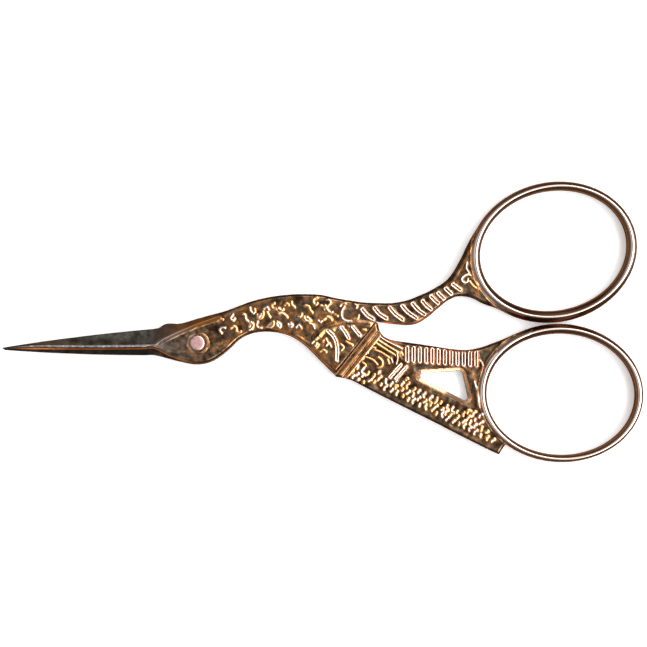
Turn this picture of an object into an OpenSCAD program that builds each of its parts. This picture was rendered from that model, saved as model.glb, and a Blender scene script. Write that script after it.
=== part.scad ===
// Stork embroidery scissors: two crossed halves that turn on one flush rivet, the stork's eye.
// Millimetres. The origin lies on the rivet's axis in the plane of the underside. The blades point
// to -X, the finger rings lie to +X, +Y is up with the stork's back, and +Z faces the viewer.
// The scissors are drawn closed. The bird half is in front, the leg half is crossed behind it.

/* [Pair] */
// Thickness of the closed pair over its flats
pair_t = 2.6; // [2:0.1:4]
// Running gap between the two flat inner faces
face_gap = 0.04; // [0.02:0.01:0.1]
// Gap where the halves stop against each other when closed
stop_gap = 0.1; // [0.06:0.02:0.3]

/* [Blades] */
// Pivot to the tip of the bird half's blade
blade_len = 27.4; // [22:0.2:40]
// How far the tip of the leg half's blade stays back
tip_back = 0.2; // [0:0.1:1]
// Thickness of the closed pair near the tip
tip_t = 0.9; // [0.6:0.1:1.8]
// Drop of the tip below the pivot
tip_drop = 0.75; // [0:0.05:1.5]
// Height of the closed blades above the pivot, at the heel
heel_up = 2; // [1.6:0.1:2.4]
// Depth of the closed blades below the pivot, at the heel
heel_down = 1.75; // [1.4:0.05:2.2]
// How much of the rear blade shows under the front one
blade_show = 0.85; // [0.3:0.05:1.1]
// Thickness of a ground cutting edge
edge_t = 0.16; // [0.1:0.02:0.4]
// Outward bow of the blade outlines between tip and heel
blade_bow = 0.2; // [0:0.05:0.4]
// Width of the chamfer along a blade's back
spine_bevel = 0.3; // [0.2:0.05:0.5]
// Width of the flat land between the chamfer and the ground face
spine_land = 0.35; // [0.2:0.05:0.6]

/* [Rivet] */
// Diameter of the rivet's shaft
rivet_d = 1.5; // [1:0.1:1.8]
// Diameter of the rivet's flush heads
rivet_head_d = 2.2; // [1.9:0.1:3]
// Height of a rivet head's cone
rivet_head_h = 0.45; // [0.2:0.05:0.8]
// Radial running clearance of the bird half on the rivet
rivet_clear = 0.03; // [0.02:0.01:0.08]
// Width of the dished rim that makes the bird's eye
eye_rim = 0.22; // [0.1:0.02:0.5]
// Depth of the dished rim
eye_depth = 0.08; // [0.04:0.02:0.2]

/* [Body] */
// Width of the rounded border on the neck, body and shanks
border = 0.55; // [0.4:0.05:1]
// Height of the upright edge left by the rounding, on one half
edge_wall = 0.7; // [0.2:0.05:0.9]
// Pivot to the upper end of the stop line, along X
stop_x = 25.1; // [24:0.1:27]
// Height of the stop line's upper end above the pivot
stop_y = 2.95; // [2.6:0.05:3.4]
// Lean of the stop line from the X axis, in degrees
stop_lean = 51.5; // [49:0.5:55]
// Lean of the seam behind the wing below the X axis, in degrees
seam_lean = 29.5; // [26:0.5:34]
// Width of the cuff that stands along the stop line
cuff_w = 1.05; // [0.6:0.05:1.4]
// Width of the groove beside the cuff
cuff_groove = 0.35; // [0.2:0.05:0.5]
// Depth of the groove beside the cuff
groove_depth = 0.25; // [0.1:0.05:0.5]

/* [Finger rings] */
// Length of the hole in the upper ring
upper_hole_l = 20.8; // [18:0.1:26]
// Width of the hole in the upper ring
upper_hole_w = 16.7; // [14:0.1:20]
// Tilt of the upper ring, in degrees
upper_tilt = 12; // [5:0.5:16]
// Length of the hole in the lower ring
lower_hole_l = 20.9; // [18:0.1:26]
// Width of the hole in the lower ring
lower_hole_w = 17; // [14:0.1:20]
// Tilt of the lower ring, in degrees
lower_tilt = -2; // [-6:0.5:4]
// Width of the upper ring's bar at its thinnest
upper_bar = 1.3; // [1:0.05:1.8]
// Width of the lower ring's bar at its thinnest
lower_bar = 1.05; // [0.9:0.05:1.8]
// Extra width of a ring's bar at its thickest
ring_swell = 0.4; // [0:0.05:0.8]
// Pivot to the left end of the upper ring's hole
upper_root_x = 39.7; // [38.5:0.1:41]
// Pivot to the left end of the lower ring's hole
lower_root_x = 40.6; // [40:0.1:42]
// Height above the pivot at which the closed rings meet
ring_meet_y = 2.75; // [2.4:0.05:3.2]
// Gap between the closed rings
ring_gap = 0.1; // [0.05:0.05:0.4]

/* [Legs] */
// Thickness that the web round the window loses to the ring, on each face
web_drop = 0.25; // [0.1:0.05:0.5]
// Width of the sloping rim of the window
window_rim = 0.5; // [0.2:0.05:0.7]
// Number of grooves in the ladder above the window
ladder_count = 11; // [5:1:14]
// Spacing of the grooves in the ladder
ladder_pitch = 0.88; // [0.7:0.02:0.95]
// Width of a ladder groove
ladder_groove = 0.4; // [0.2:0.05:0.5]
// Length of a ladder groove
ladder_l = 1.8; // [1.2:0.1:2.2]
// Depth of the grooves in the ladder and the wing
carve_depth = 0.2; // [0.1:0.02:0.35]

/* [Wing] */
// Number of feather grooves along the wing shank
feather_count = 10; // [4:1:12]
// Width of a feather groove
feather_w = 0.45; // [0.2:0.05:0.6]

/* [Hidden] */

// Points per span of a spline, stations round a ring, and points round a ring's bar
span_steps = 3;
ring_steps = 72;
bar_steps = 12;
// Room by which a cutter overshoots a face
over = 1;

mid_z = pair_t / 2;
stop_dir = [cos(stop_lean), sin(stop_lean)];
stop_top = [stop_x, stop_y];
// The foot of the stop line lies where the body's lower edge ends
stop_foot_y = -4.3;
stop_foot = stop_top + stop_dir * (stop_foot_y - stop_y) / sin(stop_lean);
seam_dir = [cos(seam_lean), -sin(seam_lean)];
seam_end = stop_top + [0.25, -0.05];
// Distance from the seam's end back to the stork's back
seam_len = 6.8;

// A point on a Catmull-Rom spline between p1 and p2
function spline_point(p0, p1, p2, p3, t) =
    0.5 * (2 * p1 + (p2 - p0) * t + (2 * p0 - 5 * p1 + 4 * p2 - p3) * t * t
        + (3 * p1 - p0 - 3 * p2 + p3) * t * t * t);

// A smooth run through its points, without the last one
function smooth_run(p) =
    let (last = len(p) - 1)
    [for (i = [0:last - 1], k = [0:span_steps - 1])
        spline_point(p[max(i - 1, 0)], p[i], p[i + 1], p[min(i + 2, last)], k / span_steps)];

// Several runs end to end, with a corner wherever two of them meet
function rail(runs) =
    let (last_run = runs[len(runs) - 1])
    concat([for (r = runs) each smooth_run(r)], [last_run[len(last_run) - 1]]);

// Values carried evenly from one key section to the next
function ramp(v) =
    concat([for (i = [0:len(v) - 2], k = [0:span_steps - 1])
        v[i] + (v[i + 1] - v[i]) * k / span_steps], [v[len(v) - 1]]);

// One face of a section, from its lower edge to its upper edge: [x, y, height above mid-plane].
// A bevel is straight where bulge is 0 and rounded over where bulge is 1.
function face_profile(low, high, low_bevel, high_bevel, low_h, flat_h, high_h, bulge) =
    let (
        across = (high - low) / norm(high - low),
        rise = 0.3 + 0.4 * bulge,
        part = 0.3
    )
    [
        [low.x, low.y, low_h],
        [each (low + across * low_bevel * part), low_h + (flat_h - low_h) * rise],
        [each (low + across * low_bevel), flat_h],
        [each (high - across * high_bevel), flat_h],
        [each (high - across * high_bevel * part), high_h + (flat_h - high_h) * rise],
        [high.x, high.y, high_h]
    ];

// Closes a face profile with its mirror image under the mid-plane
function closed_section(p) =
    concat([for (q = p) [q.x, q.y, mid_z + q.z]],
        [for (i = [len(p) - 1:-1:0]) [p[i].x, p[i].y, mid_z - p[i].z]]);

// Skins a list of closed sections of equal length. An open loft gets end caps.
module loft(sections, closed = false) {
    n = len(sections[0]);
    rows = len(sections);
    half = floor(n / 2);
    sides = [for (i = [0:rows - (closed ? 1 : 2)], j = [0:n - 1])
        let (a = i * n, b = ((i + 1) % rows) * n, k = (j + 1) % n)
        each [[a + j, b + k, b + j], [a + j, a + k, b + k]]];
    start_cap = [for (j = [0:half - 2])
        each [[j, n - 2 - j, j + 1], [j, n - 1 - j, n - 2 - j]]];
    end = (rows - 1) * n;
    end_cap = [for (j = [0:half - 2])
        each [[end + j, end + j + 1, end + n - 2 - j], [end + j, end + n - 2 - j, end + n - 1 - j]]];
    polyhedron([for (s = sections) each s],
        closed ? sides : concat(sides, start_cap, end_cap), convexity = 8);
}

// One half from blade tip to ring root, lofted through sections that run from edge to edge
module half_strip(low_runs, high_runs, shape_keys) {
    low = rail(low_runs);
    high = rail(high_runs);
    shape = ramp(shape_keys);
    loft([for (i = [0:len(low) - 1])
        let (s = shape[i])
        closed_section(face_profile(low[i], high[i], s[0], s[1], s[2], s[3], s[4], s[5]))]);
}

// Finger rings. A ring is [hole length, hole width, tilt, thinnest bar, angle of the thickest bar].
upper_ring = [upper_hole_l, upper_hole_w, upper_tilt, upper_bar, 255];
lower_ring = [lower_hole_l, lower_hole_w, lower_tilt, lower_bar, 115];

function turned(p, a) = [p.x * cos(a) - p.y * sin(a), p.x * sin(a) + p.y * cos(a)];
function hole_point(ring, a) = turned([ring[0] / 2 * cos(a), ring[1] / 2 * sin(a)], ring[2]);
function hole_normal(ring, a) =
    let (n = [cos(a) / ring[0], sin(a) / ring[1]])
    turned(n / norm(n), ring[2]);
function bar_width(ring, a) = ring[3] + ring_swell * pow((1 + cos(a - ring[4])) / 2, 2);
// A point across the ring's bar: 0 on the hole, 1 on the outside
function bar_point(ring, a, across) =
    hole_point(ring, a) + hole_normal(ring, a) * bar_width(ring, a) * across;
function outline_y(ring) = [for (a = [0:5:355]) bar_point(ring, a, 1).y];
function hole_left(ring) = min([for (a = [150:1:210]) hole_point(ring, a).x]);

// The rings meet at one height, so their centres follow from their own sizes
upper_centre = [upper_root_x - hole_left(upper_ring),
    ring_meet_y + ring_gap / 2 - min(outline_y(upper_ring))];
lower_centre = [lower_root_x - hole_left(lower_ring),
    ring_meet_y - ring_gap / 2 - max(outline_y(lower_ring))];

// An oval bar swept round the hole
module finger_ring(ring, centre) {
    loft([for (i = [0:ring_steps - 1])
        let (a = 360 * i / ring_steps)
        [for (j = [0:bar_steps - 1])
            let (b = 360 * j / bar_steps, p = centre + bar_point(ring, a, (1 + cos(b)) / 2))
            [p.x, p.y, mid_z + mid_z * sin(b)]]], closed = true);
}

// Everything on the lower left of the seam, or on the left of the stop line
module left_of_seam(z0, z1) {
    a = seam_end - seam_dir * 60;
    b = seam_end + seam_dir * 60;
    down = [-seam_dir.y, seam_dir.x] * -80;
    translate([0, 0, z0])
        linear_extrude(z1 - z0) polygon([a, b, b + down, a + down]);
}

module left_of_stop(z0, z1) {
    a = stop_top + stop_dir * 60;
    b = stop_top - stop_dir * 60;
    left = [-stop_dir.y, stop_dir.x] * 80;
    translate([0, 0, z0])
        linear_extrude(z1 - z0) polygon([a, b, b + left, a + left]);
}

// Bird half: blade, head, neck, body, wing shank and upper ring
blade_x = [-blade_len, -0.88 * blade_len, -0.73 * blade_len, -0.5 * blade_len, -8, -6];

// Height of a slightly bowed line drawn from the tip to the heel
function blade_y(x, at_tip, at_heel, bow) =
    let (part = (x + blade_len) / (blade_len - 6))
    at_tip + (at_heel - at_tip) * part + bow * sin(180 * part);

blade_flat = [for (x = blade_x) tip_t / 2 + (mid_z - tip_t / 2) * (x + blade_len) / (blade_len - 6)];
front_low_y = [for (x = blade_x) blade_y(x, -tip_drop - 0.1, blade_show - heel_down, -blade_bow / 2)];
front_high_y = [for (x = blade_x) blade_y(x, -tip_drop + 0.1, heel_up, blade_bow)];

// The stop edge of the body stays clear of the cuff
body_edge = [-stop_dir.y, stop_dir.x] * stop_gap;
body_foot = stop_foot + body_edge + [0, 0.15];
body_corner = stop_top + body_edge;

bird_low = [
    concat([for (i = [0:5]) [blade_x[i], front_low_y[i]]],
        [[-4, -1.85], [-2, -2.5], [0, -2.9], [2, -2.5], [4, -1.2], [6, 0.6], [8, 1.5],
        [10.5, 1.6], [13, 1], [15, -0.2], [17.3, -2.4], body_foot]),
    [body_foot, body_foot + (body_corner - body_foot) / 3, body_foot + (body_corner - body_foot) * 2 / 3,
        body_corner],
    [body_corner, [27.5, 2.65], [30.2, 2.55], [32, 3.4], [33.7, 4.8], [35.2, 6], [36.7, 6.55],
        [38.6, 6.3], [40.7, 5.3], upper_centre + bar_point(upper_ring, 238, 0.6)]
];
bird_high = [
    concat([for (i = [0:5]) [blade_x[i], front_high_y[i]]],
        [[-4, 2.4], [-2, 2.8], [0, 3.4], [2, 3.95], [4, 4.5], [6, 5.25], [8, 5.95], [10.5, 6.5],
        [13, 6.8], [15, 6.85], [17.3, 6.75], [19.4, 6.3], [21.2, 6], [23.2, 5.7], [25.2, 5.6],
        [27.3, 5.6], [29.3, 5.95], [31.3, 6.7], [33.2, 7.6], [35.3, 9.1], [36.9, 11.6],
        [37.9, 13.7], [38.9, 15.4], upper_centre + bar_point(upper_ring, 138, 0.6)])
];

// Section shapes: lower bevel, upper bevel, lower edge height, flat height, upper edge height, bulge
function ground(i, ridge_y) = [spine_bevel, front_high_y[i] - ridge_y, blade_flat[i] * 0.5,
    blade_flat[i], face_gap / 2 + edge_t, 0];
bird_shapes = concat(
    [[0.06, 0.08, tip_t * 0.25, tip_t / 2, face_gap / 2 + edge_t, 0]],
    [for (i = [1:5]) ground(i, front_low_y[i] + spine_bevel + spine_land)],
    [[0.45, 1.6, 0.5, mid_z, 0.3, 0.3], [0.55, 1.1, 0.5, mid_z, 0.4, 0.6],
        [0.65, 0.85, edge_wall, mid_z, edge_wall, 0.9]],
    [for (i = [0:8]) [border, border, edge_wall, mid_z, edge_wall, 1]],
    [for (i = [0:2]) [0.45, border, edge_wall, mid_z, edge_wall, 1]],
    [for (i = [0:5]) [border, border, edge_wall, mid_z, edge_wall, 1]],
    [for (i = [1:3]) [border, border, edge_wall, mid_z - web_drop * i / 3, edge_wall, 1]]
);

// Shaft hole, countersink and dished rim, cut from the face at z1 towards the inner face
module rivet_seat(clear) {
    translate([0, 0, -over])
        cylinder(d = rivet_d + 2 * clear, h = pair_t + 2 * over, $fn = 64);
    translate([0, 0, pair_t - rivet_head_h])
        cylinder(d1 = rivet_d + 2 * clear, d2 = rivet_head_d + 2 * clear, h = rivet_head_h, $fn = 64);
    translate([0, 0, pair_t - eye_depth])
        cylinder(d = rivet_head_d + 2 * eye_rim, h = eye_depth + over, $fn = 64);
}

module bird_half() {
    color("darkgoldenrod")
    difference() {
        union() {
            difference() {
                half_strip(bird_low, bird_high, bird_shapes);
                ring_hole(upper_ring, upper_centre);
            }
            finger_ring(upper_ring, upper_centre);
        }
        left_of_seam(-over, mid_z + face_gap / 2);
        feathers();
        cuff_line(seam_end - seam_dir * seam_len, -seam_lean, seam_len, 1, 0);
        rivet_seat(rivet_clear);
    }
}

// Leg half: blade, head and shank behind the bird, then cuff, web, window and lower ring
rear_x = [for (x = blade_x) x == -blade_len ? x + tip_back : x];
rear_low_y = [for (x = blade_x) blade_y(x, -tip_drop - 0.25, -heel_down, -blade_bow)];
rear_high_y = [for (x = blade_x) blade_y(x, -tip_drop, heel_up - 0.15, blade_bow)];

seam_edge = [seam_dir.y, -seam_dir.x] * stop_gap;
strip_end = seam_end + seam_edge;
strip_top = strip_end - seam_dir * seam_len;

leg_low = [
    concat([for (i = [0:5]) [rear_x[i], rear_low_y[i]]],
        [[-4, -2.25], [-2, -2.75], [0, -3.05], [2, -2.65], [4, -1.35], [6, 0.5], [8, 1.4],
        [10.5, 1.55], [13, 0.95], [15, -0.3], [17.3, -2.55], stop_foot + [0.15, -0.45]]),
    [stop_foot + [0.15, -0.45], [21.4, -5.15], [23.5, -6.2], [26, -7.5], [26.8, -7.9], [27.6, -8.3],
        [28.8, -8.9], [31.2, -10.1], [34, -11.5], [36.5, -12.8], [38.7, -13.9], [40.5, -14.8]],
    [[40.5, -14.8], [42.3, -15.65]],
    [[42.3, -15.65], lower_centre + bar_point(lower_ring, 229, 0.5),
        lower_centre + bar_point(lower_ring, 237, 0.6)]
];
leg_high = [
    concat([for (i = [0:5]) [rear_x[i], rear_high_y[i]]],
        [[-4.4, 2.7], [-2.4, 2.72], [0, 3.3], [2, 3.85], [4, 4.4], [6, 5.1], [8, 5.8], [10.5, 6.35],
        [13, 6.65], [15, 6.7], [17.3, 6.6], strip_top]),
    [strip_top, strip_top + seam_dir * seam_len / 3, strip_top + seam_dir * seam_len * 2 / 3, strip_end],
    [strip_end, [25.6, 1.7], [26.2, 0.9], [27.5, 0.35], [30, 0], [33, -0.45], [36, -0.9], [38, -1],
        [40, -0.6], [42.2, 0.2], [44.4, 1.05], lower_centre + bar_point(lower_ring, 113, 0.8)]
];

function rear_ground(i) = [rear_high_y[i] - rear_low_y[i] - spine_bevel - spine_land, spine_bevel,
    face_gap / 2 + edge_t, blade_flat[i], blade_flat[i] * 0.5, 0];
leg_shapes = concat(
    [[0.08, 0.06, face_gap / 2 + edge_t, tip_t / 2, tip_t * 0.25, 0]],
    [for (i = [1:5]) rear_ground(i)],
    [[2.3, 0.45, 0.3, mid_z, 0.5, 0.3], [1.5, 0.55, 0.4, mid_z, 0.5, 0.6],
        [0.9, 0.65, edge_wall, mid_z, edge_wall, 0.9]],
    [for (i = [0:9]) [border, border, edge_wall, mid_z, edge_wall, 1]],
    [for (i = [0:7]) [border, border, edge_wall, mid_z, edge_wall, 1]],
    [for (i = [1:5]) [border, border, edge_wall, mid_z - web_drop * min(i, 3) / 3, edge_wall, 1]]
);

// The window's corners, set out from the ring's root, and the radii of its rounded corners
window_corners = [[lower_root_x - 9, -4.6, 0.35], [lower_root_x - 4, -4.6, 0.7],
    [lower_root_x - 3, -7.7, 0.4]];

// The window's outline, drawn outward by grow
function window_loop(grow) =
    [for (c = [0:2], a = [0:5])
        let (
            p = window_corners[c],
            q = window_corners[(c + 1) % 3],
            o = window_corners[(c + 2) % 3],
            from = atan2(p.y - o.y, p.x - o.x) + 90,
            to = atan2(q.y - p.y, q.x - p.x) + 90,
            turn = ((to - from) % 360 - 360) % 360,
            at = from + turn * a / 5
        )
        [p.x + (p.z + grow) * cos(at), p.y + (p.z + grow) * sin(at)]];

// The window's outline at a height: the wide mouth of its rim, or the narrow throat
function mouth(z) = [for (p = window_loop(window_rim)) [p.x, p.y, z]];
function throat(z) = [for (p = window_loop(0)) [p.x, p.y, z]];

module window() {
    web_top = pair_t - web_drop;
    loft([mouth(-over), mouth(web_drop), throat(web_drop + window_rim),
        throat(web_top - window_rim), mouth(web_top), mouth(pair_t + over)]);
}

module ring_hole(ring, centre) {
    translate([0, 0, -over])
        linear_extrude(pair_t + 2 * over)
            polygon([for (i = [0:ring_steps - 1]) centre + bar_point(ring, 360 * i / ring_steps, 0.45)]);
}

// Grooves cut into both faces at once, each from point p to point q
module groove(p, q, width, depth) {
    along = q - p;
    for (z = [-over, pair_t - depth])
        translate([p.x, p.y, z]) rotate(atan2(along.y, along.x)) translate([0, -width / 2, 0])
            cube([norm(along), width, depth + over]);
}

// The groove that leaves a cuff standing along a stop: side is 1 to its left and -1 to its right
module cuff_line(start, lean, length, side, z) {
    translate([start.x, start.y, z == 0 ? -over : z - groove_depth])
        rotate(lean) translate([-1, side * (cuff_w + cuff_groove / 2) - cuff_groove / 2, 0])
            cube([length + 2, cuff_groove, groove_depth + over]);
}

// Ladder of short cross grooves along the leg, above the window
ladder_start = [29.85, -1.55];
ladder_fall = -0.07;
module ladder() {
    for (i = [0:ladder_count - 1]) {
        centre = ladder_start + [1, ladder_fall] * ladder_pitch * i;
        groove(centre - [0, ladder_l / 2], centre + [0, ladder_l / 2], ladder_groove,
            web_drop / 3 + carve_depth);
    }
}

// Slanting feather grooves along the wing shank, each laid between the shank's two edges
feather_start = 37;
module feathers() {
    low = rail(bird_low);
    high = rail(bird_high);
    for (i = [0:feather_count - 1]) {
        at = feather_start + 2 * i;
        groove(high[at] + (low[at] - high[at]) * 0.3, high[at + 2] + (low[at + 2] - high[at + 2]) * 0.7,
            feather_w, carve_depth);
    }
}

module leg_half() {
    color("peru")
    difference() {
        union() {
            difference() {
                half_strip(leg_low, leg_high, leg_shapes);
                ring_hole(lower_ring, lower_centre);
            }
            finger_ring(lower_ring, lower_centre);
        }
        left_of_stop(mid_z - face_gap / 2, pair_t + over);
        window();
        ladder();
        cuff_line(stop_foot, stop_lean, norm(stop_top - stop_foot), -1, pair_t);
        translate([0, 0, pair_t]) mirror([0, 0, 1]) rivet_seat(0);
    }
}

// Pivot rivet: a shaft with a flush cone head at each face
module pivot_rivet() {
    color("mistyrose")
    union() {
        cylinder(d1 = rivet_head_d, d2 = rivet_d, h = rivet_head_h, $fn = 64);
        cylinder(d = rivet_d, h = pair_t, $fn = 64);
        translate([0, 0, pair_t - rivet_head_h])
            cylinder(d1 = rivet_d, d2 = rivet_head_d, h = rivet_head_h, $fn = 64);
    }
}

bird_half();
leg_half();
pivot_rivet();
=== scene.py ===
# %% [markdown]
# Stork embroidery scissors, dressed for the camera.
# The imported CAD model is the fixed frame: three pieces, one hinge. It gives the places, the sizes and
# the joint. This notebook replaces each piece with a finer one that has the forged relief of the real
# thing: scales, feathers, the stepped cuff, the ladder and the rows of strokes on the legs.

import math

import bpy
import numpy as np
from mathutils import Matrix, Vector


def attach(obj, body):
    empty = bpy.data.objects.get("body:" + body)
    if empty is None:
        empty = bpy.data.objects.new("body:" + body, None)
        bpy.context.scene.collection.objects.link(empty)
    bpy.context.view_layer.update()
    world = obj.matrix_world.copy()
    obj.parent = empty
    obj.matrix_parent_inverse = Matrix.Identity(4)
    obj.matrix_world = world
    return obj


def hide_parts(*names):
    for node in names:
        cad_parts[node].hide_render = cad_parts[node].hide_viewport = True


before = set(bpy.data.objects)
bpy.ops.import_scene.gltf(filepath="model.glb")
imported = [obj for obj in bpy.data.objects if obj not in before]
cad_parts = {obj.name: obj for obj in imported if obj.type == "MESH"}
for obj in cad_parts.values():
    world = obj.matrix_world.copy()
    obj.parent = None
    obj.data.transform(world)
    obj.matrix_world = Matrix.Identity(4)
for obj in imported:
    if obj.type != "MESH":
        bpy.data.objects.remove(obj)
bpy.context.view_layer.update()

# %% [markdown]
# How could the relief be made? Sculpting by hand can't be repeated from a script, and a bump map has no
# shape from the side. Each half of these scissors is nearly flat, so its front and its back are two
# height maps over one outline. The script works the maps out with numpy, turns them into a field that
# is positive inside the metal, and lays a skin of quads over the place where the field is zero.
# All lengths here are millimetres in the frame's axes, with heights measured from the mid-plane.

# %% Sizes shared by both halves
MM = 0.001  # metres in a millimetre
GRID = 0.075  # spacing of the height maps
LAYER = 0.06  # spacing of the field's layers
MID = 1.3  # height of the mid-plane, and of each outer face above it
RUNNING_GAP = 0.02  # from an inner face to the mid-plane
STOP_GAP = 0.1  # between the halves where they stop against each other
BORDER = 0.45  # width of the rounded border
EDGE_WALL = 0.85  # height of the upright edge under the border
BLADE = 27.4  # pivot to the tip
REACH = 2.2  # distances are measured up to here
SWELL = 0.4  # extra width of a ring's bar at the shank
print("height maps every", GRID, "mm, layers every", LAYER, "mm")


# %% [markdown]
# The outline of the real scissors is all long curves with a few sharp corners. It could be drawn with
# Blender's Bezier handles, but a Catmull-Rom curve needs nothing but the points it passes through, and
# the CAD model uses the same one, so both models get the same edge.


# %% Curves through given points
def smooth_run(points, steps=6):
    """Points on a smooth curve through given ones, with the last one kept."""
    p = np.array(points, float)
    p = np.vstack([2 * p[0] - p[1] if len(p) == 2 else p[0], p, p[-1]])
    t = (np.arange(steps) / steps)[:, None]
    rows = [
        0.5 * (2 * b + (c - a) * t + (2 * a - 5 * b + 4 * c - d) * t**2 + (3 * b - a - 3 * c + d) * t**3)
        for a, b, c, d in zip(p[:-3], p[1:-2], p[2:-1], p[3:])
    ]
    return np.vstack(rows + [p[-1:]])


def rail(runs):
    """Several smooth runs end to end, with a corner where two of them meet."""
    return np.vstack([smooth_run(r)[:-1] for r in runs] + [np.array(runs[-1][-1:], float)])


def bowed(x, at_tip, at_heel, bow):
    """Height of a slightly bowed blade line, from the tip to the heel."""
    part = (x + BLADE) / (BLADE - 6)
    return at_tip + (at_heel - at_tip) * part + bow * np.sin(np.pi * part)


BLADE_X = np.array([-BLADE, -24.1, -20, -13.7, -8, -6])
print("a blade line has", len(BLADE_X), "points, and", len(smooth_run(np.ones((6, 2)))), "once smoothed")


# %% [markdown]
# Each finger ring is an oval bar that swells where it meets its shank. It could be a torus, scaled, but
# a torus has the same bar all round. Here a point is given by its angle round the hole and by how far
# it lies across the bar, so that the bar can be as thick as it likes at each angle.


# %% Finger rings
def hole_point(ring, angle):
    """A point on the edge of a ring's hole and the direction that leads away from the hole there."""
    length, width, tilt = ring["hole"]
    a, t = np.radians(angle), np.radians(tilt)
    turn = np.array([[np.cos(t), np.sin(t)], [-np.sin(t), np.cos(t)]])
    p = np.stack([length / 2 * np.cos(a), width / 2 * np.sin(a)], -1) @ turn
    n = np.stack([np.cos(a) / length, np.sin(a) / width], -1)
    n = (n / np.linalg.norm(n, axis=-1, keepdims=True)) @ turn
    return p, n


def bar_point(ring, angle, across):
    """A point across a ring's bar: 0 on the hole, 1 on the outside."""
    angle = np.array(angle, float)
    p, n = hole_point(ring, angle)
    swell = ((1 + np.cos(np.radians(angle - ring["thick_at"]))) / 2) ** 2
    return np.array(ring["centre"]) + p + n * ((ring["bar"] + SWELL * swell) * across)[..., None]


UPPER_RING = {"hole": (20.8, 16.7, 12), "bar": 1.3, "thick_at": 255, "centre": (50.02, 12.95)}
LOWER_RING = {"hole": (20.9, 17.0, -2), "bar": 1.05, "thick_at": 115, "centre": (51.05, -7.22)}
AROUND = np.arange(0, 360, 1.5)
print("bars", UPPER_RING["bar"], "and", LOWER_RING["bar"], "mm, swelling by", SWELL, "mm at the shank")

# %% [markdown]
# The outlines are the CAD model's own: the same points, in the same order, so that the finer
# pieces sit exactly where the frame says. A run ends wherever the outline has a corner.

# %% Outline of the bird half
STOP_LEAN, SEAM_LEAN = math.radians(51.5), math.radians(29.5)
STOP_TOP = np.array([25.1, 2.95])
STOP_ALONG = np.array([math.cos(STOP_LEAN), math.sin(STOP_LEAN)])
STOP_RIGHT = np.array([STOP_ALONG[1], -STOP_ALONG[0]])
STOP_FOOT_Y = -4.3
STOP_FOOT = STOP_TOP + STOP_ALONG * (STOP_FOOT_Y - STOP_TOP[1]) / STOP_ALONG[1]
SEAM_END = STOP_TOP + [0.25, -0.05]
SEAM_ALONG = np.array([math.cos(SEAM_LEAN), -math.sin(SEAM_LEAN)])
SEAM_UP = np.array([-SEAM_ALONG[1], SEAM_ALONG[0]])
SEAM_LENGTH = 6.8

body_foot = STOP_FOOT - STOP_RIGHT * STOP_GAP + [0, 0.15]
body_corner = STOP_TOP - STOP_RIGHT * STOP_GAP
bird_low = [
    [[x, bowed(x, -0.85, -0.9, -0.1)] for x in BLADE_X]
    + [[-4, -1.85], [-2, -2.5], [0, -2.9], [2, -2.5], [4, -1.2], [6, 0.6], [8, 1.5], [10.5, 1.6]]
    + [[13, 1], [15, -0.2], [17.3, -2.4], list(body_foot)],
    [list(body_foot), list(body_corner)],
    [list(body_corner), [27.5, 2.65], [30.2, 2.55], [32, 3.4], [33.7, 4.8], [35.2, 6], [36.7, 6.55]]
    + [[38.6, 6.3], [40.7, 5.3], list(bar_point(UPPER_RING, 238, 0.6))],
]
bird_high = [
    [[x, bowed(x, -0.65, 2, 0.2)] for x in BLADE_X]
    + [[-4, 2.4], [-2, 2.8], [0, 3.4], [2, 3.95], [4, 4.5], [6, 5.25], [8, 5.95], [10.5, 6.5]]
    + [[13, 6.8], [15, 6.85], [17.3, 6.75], [19.4, 6.3], [21.2, 6], [23.2, 5.7], [25.2, 5.6]]
    + [[27.3, 5.6], [29.3, 5.95], [31.3, 6.7], [33.2, 7.6], [35.3, 9.1], [36.9, 11.6]]
    + [[37.9, 13.7], [38.9, 15.4], list(bar_point(UPPER_RING, 138, 0.6))],
]

print("the body stops on a line from", STOP_FOOT.round(2), "to", STOP_TOP)

# %% [markdown]
# The leg half lies behind. Left of the cuff it hides under the bird's outline, a hair smaller, and its
# blade shows as a dark strip under the front one. Right of the cuff it is the stork's legs: a straight
# lower edge, a knee, and a window between the legs.

# %% Outline of the leg half
strip_end = SEAM_END - SEAM_UP * STOP_GAP
strip_top = strip_end - SEAM_ALONG * SEAM_LENGTH
leg_foot = STOP_FOOT + [0.15, -0.45]
rear_x = BLADE_X + np.array([0.2, 0, 0, 0, 0, 0])
leg_low = [
    [[x, bowed(x, -1, -1.75, -0.2)] for x in rear_x]
    + [[-4, -2.25], [-2, -2.75], [0, -3.05], [2, -2.65], [4, -1.35], [6, 0.5], [8, 1.4], [10.5, 1.55]]
    + [[13, 0.95], [15, -0.3], [17.3, -2.55], list(leg_foot)],
    [list(leg_foot), [21.4, -5.15], [23.5, -6.2], [26, -7.5], [26.8, -7.9], [27.6, -8.3], [28.8, -8.9]]
    + [[31.2, -10.1], [34, -11.5], [36.5, -12.8], [38.7, -13.9], [40.5, -14.8]],
    [[40.5, -14.8], [42.3, -15.65]],
    [[42.3, -15.65], list(bar_point(LOWER_RING, 229, 0.5)), list(bar_point(LOWER_RING, 237, 0.6))],
]
leg_high = [
    [[x, bowed(x, -0.75, 1.85, 0.2)] for x in rear_x]
    + [[-4.4, 2.7], [-2.4, 2.72], [0, 3.3], [2, 3.85], [4, 4.4], [6, 5.1], [8, 5.8], [10.5, 6.35]]
    + [[13, 6.65], [15, 6.7], [17.3, 6.6], list(strip_top)],
    [list(strip_top), list(strip_end)],
    [list(strip_end), [25.6, 1.7], [26.2, 0.9], [27.5, 0.35], [30, 0], [33, -0.45], [36, -0.9], [38, -1]]
    + [[40, -0.6], [42.2, 0.2], [44.4, 1.05], list(bar_point(LOWER_RING, 113, 0.8))],
]


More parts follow.
